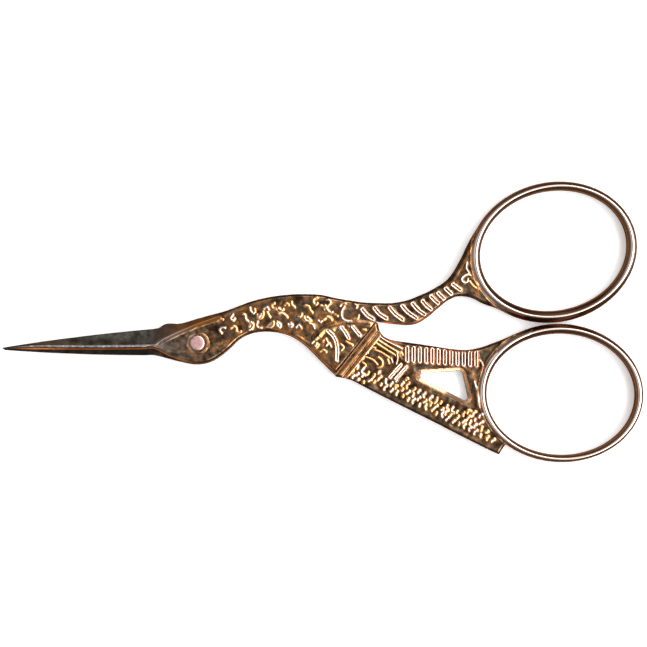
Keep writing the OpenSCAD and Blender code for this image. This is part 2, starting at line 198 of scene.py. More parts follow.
WINDOW = [(31.6, -4.6, 0.35), (36.6, -4.6, 0.7), (37.6, -7.7, 0.4)]


def window_loop():
    """The outline of the window in the legs: three corners, each rounded to its own radius."""
    loop = []
    for c in range(3):
        (px, py, r), (qx, qy, _), (ox, oy, _) = WINDOW[c], WINDOW[(c + 1) % 3], WINDOW[(c + 2) % 3]
        start = math.degrees(math.atan2(py - oy, px - ox)) + 90
        end = math.degrees(math.atan2(qy - py, qx - px)) + 90
        turn = ((end - start) % 360) - 360
        at = np.radians(start + turn * np.arange(9) / 8)
        loop.append(np.stack([px + r * np.cos(at), py + r * np.sin(at)], -1))
    return np.vstack(loop)


print("outline points:", [len(rail(runs)) for runs in (bird_low, bird_high, leg_low, leg_high)])


# %% [markdown]
# A height map needs to know, at every grid point, how far the nearest line is. Measuring every point
# against every line would be slow, so each short piece of a line only looks at the grid points near it.


# %% Distance maps
def sheet(low, high):
    """A flat grid of points that covers a box, with one spare cell round it."""
    x = np.arange(low[0] - 2 * GRID, high[0] + 3 * GRID, GRID)
    y = np.arange(low[1] - 2 * GRID, high[1] + 3 * GRID, GRID)
    return {"x": x, "y": y, "X": x[:, None] + 0 * y[None], "Y": y[None] + 0 * x[:, None]}


def near(grid, path, reach=REACH, closed=False):
    """Distance from each grid point to a path, or reach where it is further off."""
    path = np.array(path, float)
    if closed:
        path = np.vstack([path, path[:1]])
    out = np.full(grid["X"].shape, reach, np.float32)
    for a, b in zip(path[:-1], path[1:]):
        lo, hi = np.minimum(a, b) - reach, np.maximum(a, b) + reach
        i = slice(*np.searchsorted(grid["x"], [lo[0], hi[0]]))
        j = slice(*np.searchsorted(grid["y"], [lo[1], hi[1]]))
        x, y = grid["X"][i, j] - a[0], grid["Y"][i, j] - a[1]
        d = b - a
        t = np.clip((x * d[0] + y * d[1]) / max(d @ d, 1e-12), 0, 1)
        out[i, j] = np.minimum(out[i, j], np.hypot(x - t * d[0], y - t * d[1]))
    return out


def within(grid, loop):
    """True at the grid points inside a closed loop."""
    loop = np.array(loop, float)
    crossings = np.zeros((len(grid["x"]) + 1, len(grid["y"])), np.int32)
    for a, b in zip(loop, np.roll(loop, -1, 0)):
        lo, hi = (a, b) if a[1] < b[1] else (b, a)
        j = np.arange(*np.searchsorted(grid["y"], [lo[1], hi[1]]))
        if len(j):
            x = lo[0] + (hi[0] - lo[0]) * (grid["y"][j] - lo[1]) / (hi[1] - lo[1])
            np.add.at(crossings, (np.searchsorted(grid["x"], x), j), 1)
    return np.cumsum(crossings, 0)[:-1] % 2 == 1


def depth_in(grid, loop, reach=REACH):
    """Distance inwards from a closed loop: positive inside it, negative outside."""
    away = near(grid, loop, reach, closed=True)
    return np.where(within(grid, loop), away, -away)


bird_grid = sheet((-27.5, -4.4), (62.3, 23.2))
leg_grid = sheet((-27.4, -17.4), (62.8, 7.2))
print("grids:", bird_grid["X"].shape, "for the bird half and", leg_grid["X"].shape, "for the leg half")

# %% [markdown]
# No mark on a forging starts or stops sharply, and the ground between the marks is never quite even. So
# the maps fade in and out by one smooth step, and gentle noise makes the ground uneven. The noise has a
# fixed seed, so that every run gives the same ground.


# %% Smooth steps and uneven ground
def ease(x, start, end):
    """0 before start, 1 after end, and a smooth change in between."""
    t = np.clip((x - start) / (end - start), 0, 1)
    return t * t * (3 - 2 * t)


def lumps(grid, pitch, seed):
    """Gentle uneven ground from -1 to 1, with a new random height every pitch millimetres."""
    rng = np.random.default_rng(seed)
    u, v = (grid["X"] + 60) / pitch, (grid["Y"] + 40) / pitch
    heights = rng.uniform(-1, 1, (int(u.max()) + 3, int(v.max()) + 3))
    i, j = u.astype(int), v.astype(int)
    s, t = ease(u - i, 0, 1), ease(v - j, 0, 1)
    low = heights[i, j] * (1 - s) + heights[i + 1, j] * s
    high = heights[i, j + 1] * (1 - s) + heights[i + 1, j + 1] * s
    return low * (1 - t) + high * t


print("a quarter of the way, a smooth step has reached", ease(0.25, 0, 1))


# %% [markdown]
# The relief of the real scissors has two kinds of mark. Scale hooks and the strokes of the web are small
# rounded ridges. Feather bars and ladder rungs are thin lips round a sunk middle, so that each one shows
# two bright edges. A gentle slope mirrors the lamp and a steep one the dark room, so the ridges are low.
# Beside each mark the ground gets painted shadow, mostly on its upper left; the last function finds it.


# %% Marks of the relief
LIP = 0.16  # half the width of a feather's lip
TOUCHED = 0.005  # the relief is a mark where it is higher than this


def ridges(grid, relief, paths, half_width, height):
    """Raises rounded ridges along the paths, no two quite as high, up from the lowered ground."""
    for i, path in enumerate(paths):
        d = near(grid, smooth_run(path, 5), half_width)
        u = np.clip(d / half_width, 0, 1)
        uneven = 0.82 + 0.18 * math.cos(5 * i)
        np.maximum(relief, height * uneven * (1 - u**2) ** 0.9, out=relief)


def outlines(grid, relief, paths, half_width, height):
    """Raises the thin lip that runs round a long feather, half_width away from its middle."""
    for path in paths:
        d = near(grid, smooth_run(path, 5), half_width + LIP)
        u = np.clip(np.abs(d - half_width) / LIP, 0, 1)
        np.maximum(relief, height * (1 - u**2) ** 0.8, out=relief)


def painted_mark_shadow(relief):
    """How much painted shadow lies beside the marks, mostly on their upper left: from 0 to 1."""
    marked = (relief > TOUCHED).astype(float)
    for axis, steps in ((0, range(-7, 2)), (1, range(-2, 7))):
        marked = sum(np.roll(marked, k, axis) for k in steps) / len(steps)
    return np.clip(2.6 * marked, 0, 1) * (relief <= TOUCHED)


print("a lip is", 2 * LIP, "mm wide, which is", round(2 * LIP / GRID, 1), "steps of the grid")


# %% [markdown]
# The neck and body are covered with small scales, cut as hooks and curls. They aren't a regular pattern:
# each was cut by hand into the die. So each has its own points here, in the order of the photograph from
# left to right, and the fatter ones get a small round blob on top.

# %% Scale hooks on the neck and body
SCALES = [
    [(3.9, 2.1), (3.4, 2.15), (3.15, 1.8), (3.4, 1.4)],
    [(5.0, 3.95), (4.7, 3.6), (4.75, 3.3), (5.0, 3.15), (5.25, 3.4)],
    [(3.35, 3.3), (3.6, 3.3)],
    [(4.7, 2.1), (5.15, 2.3), (5.5, 2.05), (5.45, 1.7), (5.75, 1.5), (6.1, 1.6)],
    [(6.4, 4.0), (6.7, 3.9), (6.8, 3.4), (7.0, 3.1), (7.3, 2.9)],
    [(7.5, 2.95), (7.85, 2.6), (7.7, 2.1), (7.25, 1.8)],
    [(7.4, 4.9), (7.5, 4.5), (7.8, 4.2), (8.1, 4.35), (8.05, 4.7)],
    [(8.4, 3.95), (8.55, 3.5), (9.0, 3.55), (9.2, 4.0), (9.2, 4.4)],
    [(8.7, 3.85), (8.85, 3.75)],
    [(8.45, 2.95), (8.35, 2.45), (8.6, 2.15), (8.95, 2.15)],
    [(9.3, 4.8), (9.75, 5.0), (10.0, 4.7)],
    [(9.8, 4.3), (10.0, 3.9), (10.2, 3.6)],
    [(9.7, 2.25), (10.2, 2.25), (10.6, 2.5), (10.7, 2.9), (10.3, 2.85), (10.0, 2.6)],
    [(10.8, 5.55), (10.45, 5.4), (10.45, 5.05), (10.7, 4.8), (11.1, 4.8)],
    [(11.2, 2.9), (11.2, 2.5), (11.5, 2.2), (11.7, 2.5), (11.45, 2.8)],
    [(11.4, 4.85), (11.8, 4.6), (12.05, 4.7)],
    [(11.4, 4.15), (11.9, 4.15), (12.3, 3.9), (12.6, 3.6)],
    [(12.2, 5.3), (12.5, 5.5), (12.8, 5.35)],
    [(13.2, 5.75), (13.3, 5.3), (13.65, 5.0)],
    [(12.75, 2.65), (12.9, 2.3), (13.2, 2.3), (13.4, 2.6), (13.1, 2.8)],
    [(13.85, 2.2), (14.1, 2.5), (14.4, 2.4), (14.55, 2.15)],
    [(14.1, 3.7), (14.5, 3.75), (14.65, 4.05)],
    [(15.1, 5.2), (15.6, 5.1), (15.8, 4.6), (16.1, 4.25)],
    [(15.0, 3.65), (15.15, 3.2), (15.55, 3.05), (15.95, 3.1)],
    [(15.35, 3.6), (15.75, 3.4)],
    [(15.75, 2.7), (16.2, 2.55), (16.4, 2.1)],
    [(16.85, 6.4), (16.35, 6.2), (16.25, 5.75), (16.5, 5.4), (16.85, 5.55)],
    [(17.3, 5.2), (17.75, 5.05), (17.8, 4.75)],
    [(18.1, 6.0), (18.5, 6.0), (18.65, 5.6), (18.35, 5.3)],
    [(18.0, 4.95), (18.3, 4.6), (18.6, 4.3), (18.95, 4.3)],
    [(16.95, 3.15), (17.25, 2.95), (17.45, 3.1)],
    [(17.7, 3.3), (18.15, 3.6), (18.6, 3.5), (18.85, 3.25)],
    [(19.25, 4.0), (19.65, 3.75)],
    [(20.0, 5.2), (20.3, 5.5), (20.75, 5.55)],
    [(20.6, 5.1), (20.3, 4.6), (20.2, 4.0), (20.4, 3.4), (20.9, 3.1), (21.6, 3.0)],
    [(22.1, 5.45), (22.4, 5.25), (22.3, 4.9)],
    [(22.0, 3.4), (22.45, 3.45), (22.6, 3.85)],
]

SCALE_BLOBS = [
    [(8.7, 3.7), (8.95, 4.0)],
    [(9.95, 2.35), (10.35, 2.75)],
    [(7.3, 2.3), (7.45, 2.7)],
    [(11.2, 2.45), (11.35, 2.6)],
    [(16.55, -0.35), (16.7, -0.15)],
    [(12.95, 2.45), (13.15, 2.6)],
    [(17.95, 5.15), (18.1, 5.0)],
    [(14.9, 3.3), (15.1, 3.15)],
]
print(len(SCALES), "scales and", len(SCALE_BLOBS), "blobs")

# %% [markdown]
# The folded wing is a fan: a smooth raised edge along its top, a row of tiny dots under it, three long
# double-lined feathers and a few stray hooks.

# %% Feathers of the folded wing
WING_EDGE = [(16.4, 0.7), (17.9, 1.95), (20.2, 2.65), (22.4, 2.8), (24.2, 2.5)]
WING_BARS = [
    [(18.2, 1.75), (19.1, 0.85), (19.55, -0.4), (19.55, -2.4)],
    [(20.15, 2.25), (20.75, 1.45), (21.2, 0.65)],
    [(21.75, 2.3), (22.3, 1.6), (22.75, 1.05)],
]
WING_HOOKS = [
    [(16.05, 0.0), (16.3, 0.2)],
    [(16.65, 0.55), (16.9, 0.7)],
    [(17.3, 1.0), (17.5, 1.2)],
    [(18.1, 1.65), (18.25, 1.55)],
    [(19.0, 1.9), (19.15, 1.8)],
    [(19.85, 2.05), (20.0, 1.95)],
    [(21.1, 2.4), (21.3, 2.3)],
    [(16.35, -0.3), (16.65, -0.6), (17.0, -0.25)],
    [(17.2, -1.15), (17.65, -1.0), (18.05, -1.25)],
    [(17.6, 0.3), (18.0, 0.6), (18.25, 0.2)],
    [(18.05, -0.4), (18.45, 0.0), (18.75, -0.5)],
    [(20.1, -0.2), (20.5, -0.6), (20.2, -1.0)],
    [(20.85, 0.2), (21.4, -0.15), (21.75, -0.3)],
    [(23.15, 1.85), (23.6, 1.85)],
]
print(len(WING_BARS), "long feathers,", len(WING_HOOKS), "dots and hooks")

# %% [markdown]
# Along the wing's shank runs a row of slanting feathers that get shorter towards the ring, where a small
# flourish ends them.

# %% Feather bars of the wing shank and the flourish at the ring's root
SHANK_BARS = [
    [(23.1, 4.7), (23.8, 3.85), (24.6, 3.35)],
    [(24.8, 4.9), (25.5, 4.05), (26.45, 3.45)],
    [(26.95, 4.95), (27.65, 4.1), (28.7, 3.3)],
    [(28.7, 5.2), (29.5, 4.3), (30.65, 3.5)],
    [(30.15, 5.5), (30.95, 4.6), (31.8, 4.0)],
    [(31.55, 5.85), (32.15, 5.15), (32.75, 4.7)],
    [(32.75, 6.55), (33.3, 5.95), (33.75, 5.55)],
    [(33.75, 6.95), (34.2, 6.5), (34.6, 6.15)],
    [(34.8, 7.6), (35.2, 7.2), (35.6, 6.85)],
    [(35.8, 8.2), (36.3, 7.8), (36.8, 7.45)],
]
FLOURISH = [
    [(38.2, 9.6), (37.5, 9.5), (37.05, 9.0), (37.3, 8.5), (37.85, 8.6), (37.95, 8.95)],
    [(37.8, 11.3), (37.7, 10.5), (38.05, 9.9)],
    [(38.4, 9.35), (38.8, 8.75), (39.3, 8.2)],
    [(38.2, 8.6), (38.7, 7.95), (39.35, 7.5)],
]
print(len(SHANK_BARS), "feathers on the shank,", len(FLOURISH), "strokes in the flourish")

# %% [markdown]
# The web of the legs is the busiest part. Feathers fall over the knee from the cuff, two broad strokes
# follow, a ladder of twelve rungs runs over the window, and rows of slanting strokes fill the rest. The
# rows stop at the edge of MARK_FIELD, which leaves the plain strip along the lower edge.

# %% Feathers, ladder and field of the leg web
LEG_STROKES = [
    [(25.7, 0.85), (27.0, 0.05), (28.7, -0.8)],
    [(25.25, 0.45), (26.6, -0.4), (28.2, -1.35)],
    [(24.95, 0.05), (26.4, -0.9), (27.75, -1.75)],
    [(24.75, -0.95), (26.0, -1.45), (27.0, -2.2)],
    [(24.15, -0.85), (24.55, -0.6), (24.95, -0.7)],
    [(23.5, -1.55), (23.9, -1.35)],
    [(22.85, -2.35), (23.3, -2.15)],
    [(23.6, -2.0), (24.6, -2.4), (25.2, -3.0)],
    [(25.35, -2.0), (25.9, -2.55), (25.85, -3.2), (25.3, -3.4)],
    [(27.95, -1.3), (28.1, -2.1), (27.9, -2.85)],
    [(27.2, -2.15), (27.35, -2.65)],
    [(26.65, -2.25), (26.85, -2.8)],
    [(23.15, -2.75), (23.6, -3.1), (23.3, -3.5)],
    [(28.6, -1.25), (28.75, -1.65)],
    [(39.6, -2.4), (40.0, -3.1), (39.7, -4.2)],
]
ROOT_STROKES = [
    [(38.85, -5.4), (39.3, -7.2), (39.5, -9.0)],
    [(41.9, -1.3), (41.1, -2.3), (40.3, -3.8)],
]
KNEE_BARS = [
    [(29.25, -3.35), (28.5, -4.25), (27.8, -5.0)],
    [(28.45, -3.1), (27.6, -4.05), (26.95, -4.8)],
]
RUNG_PITCH, RUNG_DROP = 0.88, 0.062
LADDER = [
    [(29.41 + RUNG_PITCH * i, y - RUNG_DROP * i) for y in (-0.65, -2.45)] for i in range(12)
]
MARK_FIELD = [
    (21.3, -4.1), (22.6, -3.0), (23.6, -3.7), (25.6, -3.7), (26.6, -5.0), (28.3, -5.1), (29.6, -4.2),
    (30.6, -5.9), (38.2, -9.5), (39.6, -9.2), (40.4, -11.2), (41.9, -13.6), (42.2, -14.4), (40.8, -13.9),
    (27.2, -7.3), (21.4, -4.8),
]
print(len(LEG_STROKES), "strokes by hand,", len(LADDER), "rungs")


# %% [markdown]
# The blades aren't left as forged but ground. From the spine, each has a narrow chamfer, a narrow land
# and one wide slightly hollow facet out to the cutting edge. The wide facet carries on over the head as
# the slope above the stork's beak line.


# %% Border and blades
BLADE_PART = 55  # points of an outline's rail from the tip to 2 mm behind the rivet


def crown(depth, flat, border, wall=EDGE_WALL):
    """Height of the rounded border: an upright wall, then a curve up to the flat."""
    u = np.clip(depth / border, 0, 1)
    return wall + (flat - wall) * (1 - (1 - u) ** 2.3)


def ground_face(grid, spine, edge, mirrored):
    """Height of a ground blade and of the head's slope. spine and edge are rails along X."""
    x = grid["X"]
    far, cut = rail(spine)[:BLADE_PART], rail(edge)[:BLADE_PART]
    low, high = np.interp(x, far[:, 0], far[:, 1]), np.interp(x, cut[:, 0], cut[:, 1])
    flat = np.interp(x, [-BLADE, -20, -6], [0.4, 0.8, MID])
    side = -1 if mirrored else 1
    from_spine = (grid["Y"] - low) * side
    from_edge = (high - grid["Y"]) * side
    wide = np.maximum(from_spine + from_edge, 0.2)
    chamfer = 0.3 * np.minimum(1, wide / 0.9)
    land = chamfer + 0.35 * np.minimum(1, wide / 1.2)
    t = np.clip((from_spine - land) / np.maximum(wide - land, 0.1), 0, 1)
    hollow = 0.05 * np.sin(np.pi * t) * np.minimum(1, wide / 1.5)
    facet = flat + (np.minimum(0.25, flat) - flat) * t - hollow
    on_land = flat - 0.045 * np.clip((land - from_spine) / np.maximum(land - chamfer, 0.05), 0, 1)
    on_chamfer = (flat - 0.2 * chamfer / 0.3) * (0.5 + 0.5 * np.clip(from_spine / chamfer, 0, 1))
    face = np.where(from_spine > land, facet, np.where(from_spine > chamfer, on_land, on_chamfer))
    return np.maximum(face + 0.008 * lumps(grid, 0.7, 9), 0.1)


print("the blade part of the outline ends at x =", rail(bird_high)[BLADE_PART - 1][0].round(2))


# %% [markdown]
# Three more maps go with each height map, for the finish. Crest says how high a spot stands and so how
# far the polishing wheel has cleaned it. The golden-sheen map says where a steep side gets a painted
# golden reflection instead of the painted dark, and shade is painted shadow that darkens the film. They
# stop short of the edge, so that the marks don't paint stripes down the sides. Along the wing's shank
# the ring's smooth round runs on as a border of painted shade with a thin painted highlight line.


# %% Marks on the body and the wing
ON_FACE = 0.12  # marks colour the metal from this far inside the edge
MARK_TOP = 0.11  # height at which a mark is polished clean


def bird_marks(grid, depth):
    """Relief of the body and the wing, with its crest, painted gold-sheen and painted-shadow maps."""
    x = grid["X"]
    relief = np.zeros_like(x)
    ridges(grid, relief, SCALES, 0.21, 0.1)
    ridges(grid, relief, SCALE_BLOBS, 0.3, 0.1)
    ridges(grid, relief, WING_HOOKS, 0.18, 0.09)
    outlines(grid, relief, WING_BARS, 0.17, 0.1)
    outlines(grid, relief, SHANK_BARS, 0.2, 0.1)
    ridges(grid, relief, FLOURISH, 0.18, 0.1)
    crest = np.clip(relief / MARK_TOP, 0, 1) * (depth > ON_FACE)
    # The sides of the marks get a painted golden reflection.
    gold_sheen = 0.5 * (relief > TOUCHED) * (depth > ON_FACE)
    rubbed = 0.2 * ease(lumps(grid, 0.7, 12), -0.3, 0.6) * ease(x, 3, 6) * (1 - ease(x, 20, 24))
    rounding = near(grid, rail(bird_high), 0.9)
    # Painted highlight line on the shank's upper border; shade adds a painted dark band beside it.
    line = 0.5 * np.exp(-(((rounding - 0.7) / 0.07) ** 2)) * ease(x, 35, 38)
    shade = np.maximum(0.7 * painted_mark_shadow(relief), 0.45 * (1 - ease(rounding, 0.5, 0.62)) * ease(x, 29, 35))
    ridges(grid, relief, [WING_EDGE], 0.5, 0.1)
    return relief, np.maximum.reduce([crest, rubbed, line]), gold_sheen, shade


print("marks colour the metal from", ON_FACE, "mm inside the edge")

# %% [markdown]
# The stork's head has no marks. Its features are the line of the beak, which carries on the blade's
# ridge, and the lip on the right of the eye. Wheel and fingers have brightened both, and the narrow land
# of the blade as well.


# %% Beak line and polish of the head
BEAK_LINE = [(-6.0, -0.2), (-5, 0.3), (-3, 1.3), (-1, 2.15), (0, 2.55), (3, 3.55)]
LIP_CENTRE = 0.15  # the eye's lip lies round a point this far right of the rivet


def beak_ridge(grid):
    """How far a spot belongs to the raised line of the beak, from 0 to 1."""
    x = grid["X"]
    beak = near(grid, smooth_run(BEAK_LINE, 5), 0.5)
    return (1 - (beak / 0.5) ** 2) * ease(x, -6.4, -5.6) * (1 - ease(x, 2.0, 5.0))


def bird_polish(grid, bill):
    """Crest of the blade, the beak line, the slope above it and the eye's lip; painted gold sheen on the
    lower edge.
    """
    x, y = grid["X"], grid["Y"]
    above = y - np.interp(x, *np.array(BEAK_LINE).T)
    slope = 0.2 * ease(above, 0.3, 0.6) * ease(x, -7, -6) * (1 - ease(x, 1, 4))
    below = near(grid, rail(bird_low), 0.9)
    land = ease(below, 0.33, 0.4) * (1 - ease(below, 0.58, 0.72)) * (1 - ease(x, -7, -5.5))
    speckle = 0.55 + 0.45 * lumps(grid, 0.25, 8)
    eye_ring = np.hypot(x - LIP_CENTRE, y)
    lip = 0.8 * np.exp(-(((eye_ring - 1.36) / 0.1) ** 2)) * ease(x, 0.3, 0.9)
    shine = 1 - ease(x, -2.5, 0.5) + ease(x, 10.5, 12.5) * (1 - ease(x, 18.5, 19.5))
    shine = shine + ease(x, 25.5, 26.5) * (1 - ease(x, 33, 35))
    # A painted golden reflection line along the lower edge, in the stretches where shine is high.
    gold_sheen = 0.55 * (1 - ease(below, 0.16, 0.25)) * shine * ease(x, -27, -23)
    bright_bill = (0.65 - 0.2 * ease(x, -3, 0)) * bill
    return np.maximum.reduce([bright_bill, slope, 0.7 * land * speckle, lip]), gold_sheen


print("the beak line runs from", BEAK_LINE[0], "to", BEAK_LINE[-1])

# %% [markdown]
# Above the beak line the head falls to its back in one smooth slope, which carries on the wide facet of
# the blade. It is a straight ramp from the beak line at full height down to the edge of the outline.


# %% Slope of the head
def head_slope(grid):
    """Height above the head's beak line: a facet that falls to the back of the head."""
    line = np.array([(-6.2, -0.35), (-5, 0.3), (-3, 1.3), (-1, 2.2), (0, 2.6), (3, 3.65), (6, 4.6)])
    back = rail(bird_high)[: BLADE_PART + 5]
    ridge = np.interp(grid["X"], line[:, 0], line[:, 1])
    top = np.interp(grid["X"], back[:, 0], back[:, 1])
    t = np.clip((grid["Y"] - ridge) / np.maximum(top - ridge, 0.3), 0, 1)
    edge = np.interp(grid["X"], [-6, -2, 2], [0.25, 0.6, EDGE_WALL])
    return MID + (edge - MID) * t


print("the slope goes down to", head_slope(bird_grid).min().round(2), "mm above the mid-plane")

# %% [markdown]
# The bird's front is put together from the ground blade, the slope over the beak line, the head's smooth
# plateau with the eye, and the lowered ground of the body with its marks.


# %% Front of the bird
def bird_front(grid, depth, relief, bill):
    """Front height of the bird half."""
    x, y = grid["X"], grid["Y"]
    plateau = 0.08 * ease(x, -5.8, -4.4) * (1 - ease(x, 2.0, 5.0))
    ground = 0.13 * ease(x, 2.0, 5.5) + plateau
    flat = MID - 0.1 * ease(x, 36, 40)
    eye_ring = np.hypot(x - LIP_CENTRE, y)
    lip = 0.08 * np.exp(-(((eye_ring - 1.38) / 0.12) ** 2)) * ease(x, 0.3, 1.1)
    dish = 0.03 * (1 - ease(np.hypot(x, y), 1.1, 1.5))
    rough = 0.024 * lumps(grid, 0.55, 3) + 0.04 * lumps(grid, 1.2, 4) * (0.35 + 0.65 * ease(x, 2, 5))
    field = flat - ground + np.minimum(relief, ground) + (lip + 0.07 * bill) * (plateau > 0)
    field = field - dish + (rough - 0.03) * ease(depth, 0.3, 0.9) * (1 - ease(x, 36, 38))
    edge = crown(depth, flat - np.maximum(ground - relief, 0), BORDER + 0.3 * ease(x, 31, 37))
    body = np.minimum(edge, field)
    head = np.minimum(body, np.minimum(head_slope(grid), MID))
    body = head + (body - head) * ease(x, 2, 5)
    blade = ground_face(grid, bird_low, bird_high, False)
    return np.minimum(blade + (body - blade) * ease(x, -6.8, -5.0), MID)


def bird_faces(grid, depth):
    """Front height of the bird half, with its crest, painted gold-sheen and painted-shadow maps."""
    beyond = [[list(body_foot), list(body_foot + [0.75, -0.95]), [26.1, 2.8]]]
    beyond.append([[26.1, 2.8]] + bird_low[2][1:])
    open_loop = np.vstack([rail(bird_low[:1] + beyond), rail(bird_high)[::-1]])
    depth = np.where(grid["X"] > 12, depth_in(grid, open_loop), depth)
    bill = beak_ridge(grid)
    relief, crest, gold_sheen, shade = bird_marks(grid, depth)
    head_crest, head_gold_sheen = bird_polish(grid, bill)
    front = bird_front(grid, depth, relief, bill)
    return front, np.maximum(crest, head_crest), np.maximum(gold_sheen, head_gold_sheen), shade


bird_loop = np.vstack([rail(bird_low), rail(bird_high)[::-1]])
bird_depth = depth_in(bird_grid, bird_loop)
bird_high_map, *bird_maps = bird_faces(bird_grid, bird_depth)
print("the bird's front lies between", bird_high_map[bird_depth > 0].min().round(2), "and", MID, "mm")

# %% [markdown]
# The small strokes of the web run in rows along its straight lower edge, but each was cut by hand. So
# they come from a loop that moves, turns and bends every stroke a little at random, from a fixed seed.


# %% Rows of strokes
ROW_START = np.array([20.9, -4.45])
LOWER_EDGE = np.array([21.5, -10.65])  # the way that the web's lower edge runs
STROKE_PITCH, ROW_PITCH = 0.88, 0.74


def comma_spots(grid):
    """Rows of marks that run with the straight lower edge of the web, every other row shifted."""
    rng = np.random.default_rng(11)
    along = LOWER_EDGE / np.linalg.norm(LOWER_EDGE)
    up = np.array([-along[1], along[0]])
    inside = depth_in(grid, MARK_FIELD, 1.0)
    spots = []
    for row in range(12):
        for k in range(-4, 34):
            p = ROW_START + along * STROKE_PITCH * (k + 0.5 * (row % 2)) + up * (0.1 + ROW_PITCH * row)
            p = p + rng.normal(0, 0.07, 2)
            i, j = np.searchsorted(grid["x"], p[0]), np.searchsorted(grid["y"], p[1])
            if 0 < i < len(grid["x"]) and 0 < j < len(grid["y"]) and inside[i, j] > 0.12:
                spots.append(p)
    return spots


def commas(spots, rng):
    """Short slanting strokes with a slight curl, one at each spot, no two alike."""
    paths = []
    for spot in spots:
        length, lean = rng.uniform(0.2, 0.75), math.radians(rng.normal(50, 16))
        along = np.array([math.cos(lean), math.sin(lean)]) * length / 2
        curl = np.array([-along[1], along[0]]) * rng.uniform(-0.2, 0.9)
        paths.append([spot - along, spot + curl, spot + along])
    return paths


ROW_STROKES = commas(comma_spots(leg_grid), np.random.default_rng(7))
print(len(ROW_STROKES), "small strokes in rows")

# %% [markdown]
# The legs are the same on both sides, so one map serves for front and back. The rim of the window slopes
# at 45 degrees, which catches the warm wall of the room, and it is also painted with a pale-gold
# reflection.
# The ground dips under the ladder so that its rungs stand clear.


# %% Outer faces of the legs
def leg_faces(grid, depth):
    """Height of the leg half's outer faces right of the cuff, with its crest, painted gold-sheen and
    painted-shadow maps.
    """
    x = grid["X"]
    relief = np.zeros_like(x)
    ridges(grid, relief, LEG_STROKES, 0.16, 0.09)
    ridges(grid, relief, ROOT_STROKES, 0.2, 0.1)
    outlines(grid, relief, KNEE_BARS, 0.15, 0.1)
    outlines(grid, relief, LADDER, 0.2, 0.15)
    ridges(grid, relief, ROW_STROKES, 0.24, 0.1)
    flat = MID - 0.1 * ease(x, 36, 42)
    opening = -depth_in(grid, window_loop())
    rung_zone = near(grid, [(29.6, -1.57), (38.9, -2.2)], 1.6)
    ground = np.maximum(np.full_like(x, 0.13), 0.2 * (1 - ease(rung_zone, 1.0, 1.25)))
    field = flat - ground + np.minimum(relief, ground)
    rough = 0.024 * lumps(grid, 0.55, 5) + 0.035 * lumps(grid, 1.2, 6)
    field = field + (rough - 0.02) * ease(depth, 0.3, 0.9) * (1 - ease(x, 38, 40))
    rim = 0.55 + np.clip(opening, 0, 2)
    edge = crown(depth, flat - np.maximum(ground - relief, 0), BORDER)
    body = np.minimum(np.minimum(edge, field), np.where(opening < 0.5, rim, 9))
    on_face = (opening > 0.5) & (depth > ON_FACE)
    crest = np.clip(relief / MARK_TOP, 0, 1) * on_face
    # The knee's curve gets a painted golden reflection line, and the window's rim a painted pale-gold
    # one.
    knee = near(grid, [(25.3, 2.9), (25.6, 1.7), (26.2, 0.9), (27.5, 0.35), (28.5, 0.2)], 0.5)
    rim_gold_sheen = np.where(opening < 0.2, 1.0, 0.75) * (opening < 0.55)
    gold_sheen = np.maximum(0.5 * (relief > TOUCHED) * on_face, rim_gold_sheen)
    # The last map is painted shadow beside the marks.
    return body, crest, np.maximum(gold_sheen, 0.6 * (1 - ease(knee, 0.25, 0.45))), painted_mark_shadow(relief)


leg_loop = np.vstack([rail(leg_low), rail(leg_high)[::-1]])
leg_depth = depth_in(leg_grid, leg_loop)
web, leg_crest, leg_gold_sheen, leg_shade = leg_faces(leg_grid, leg_depth)
print("the legs' faces lie between", web[leg_depth > 0].min().round(2), "and", web.max().round(2), "mm")

# %% [markdown]
# The cuff is the step that the body stops against. Its profile is the same all along the stop line, so
# pairs of distance and height describe it, as a moulding plane would cut it.

# %% Cuff
CUFF = [(0, -0.2), (0.18, 0), (0.6, 0), (0.95, -0.035), (1.0, -0.34), (1.33, -0.34), (1.52, -0.08)]
CUFF += [(1.62, -0.08), (1.78, -0.13)]
CUFF_END = CUFF[-1][0]


def cuff(right):
    """The cuff along the stop line: a bevelled edge, a flat, a soft fall, a groove, a thin line."""
    steps = np.array(CUFF)
    return MID + np.interp(right, steps[:, 0], steps[:, 1])


print("the cuff is", CUFF_END, "mm wide and its groove", -min(h for _, h in CUFF), "mm deep")


# %% [markdown]
# From field to mesh: where the field changes sign inside a small cell, the cell gets one vertex at the
# mean of the crossings on its edges, and each crossed grid edge gets one quad between its four cells.
# Edges come out softened by half a cell, as plating softens them on the real thing.

# %% Skin of a solid field
CORNERS = [(i, j, k) for i in (0, 1) for j in (0, 1) for k in (0, 1)]
CELL_EDGES = [
    (a, b)
    for a in range(8)
    for b in range(a + 1, 8)
    if sum(abs(p - q) for p, q in zip(CORNERS[a], CORNERS[b])) == 1
]


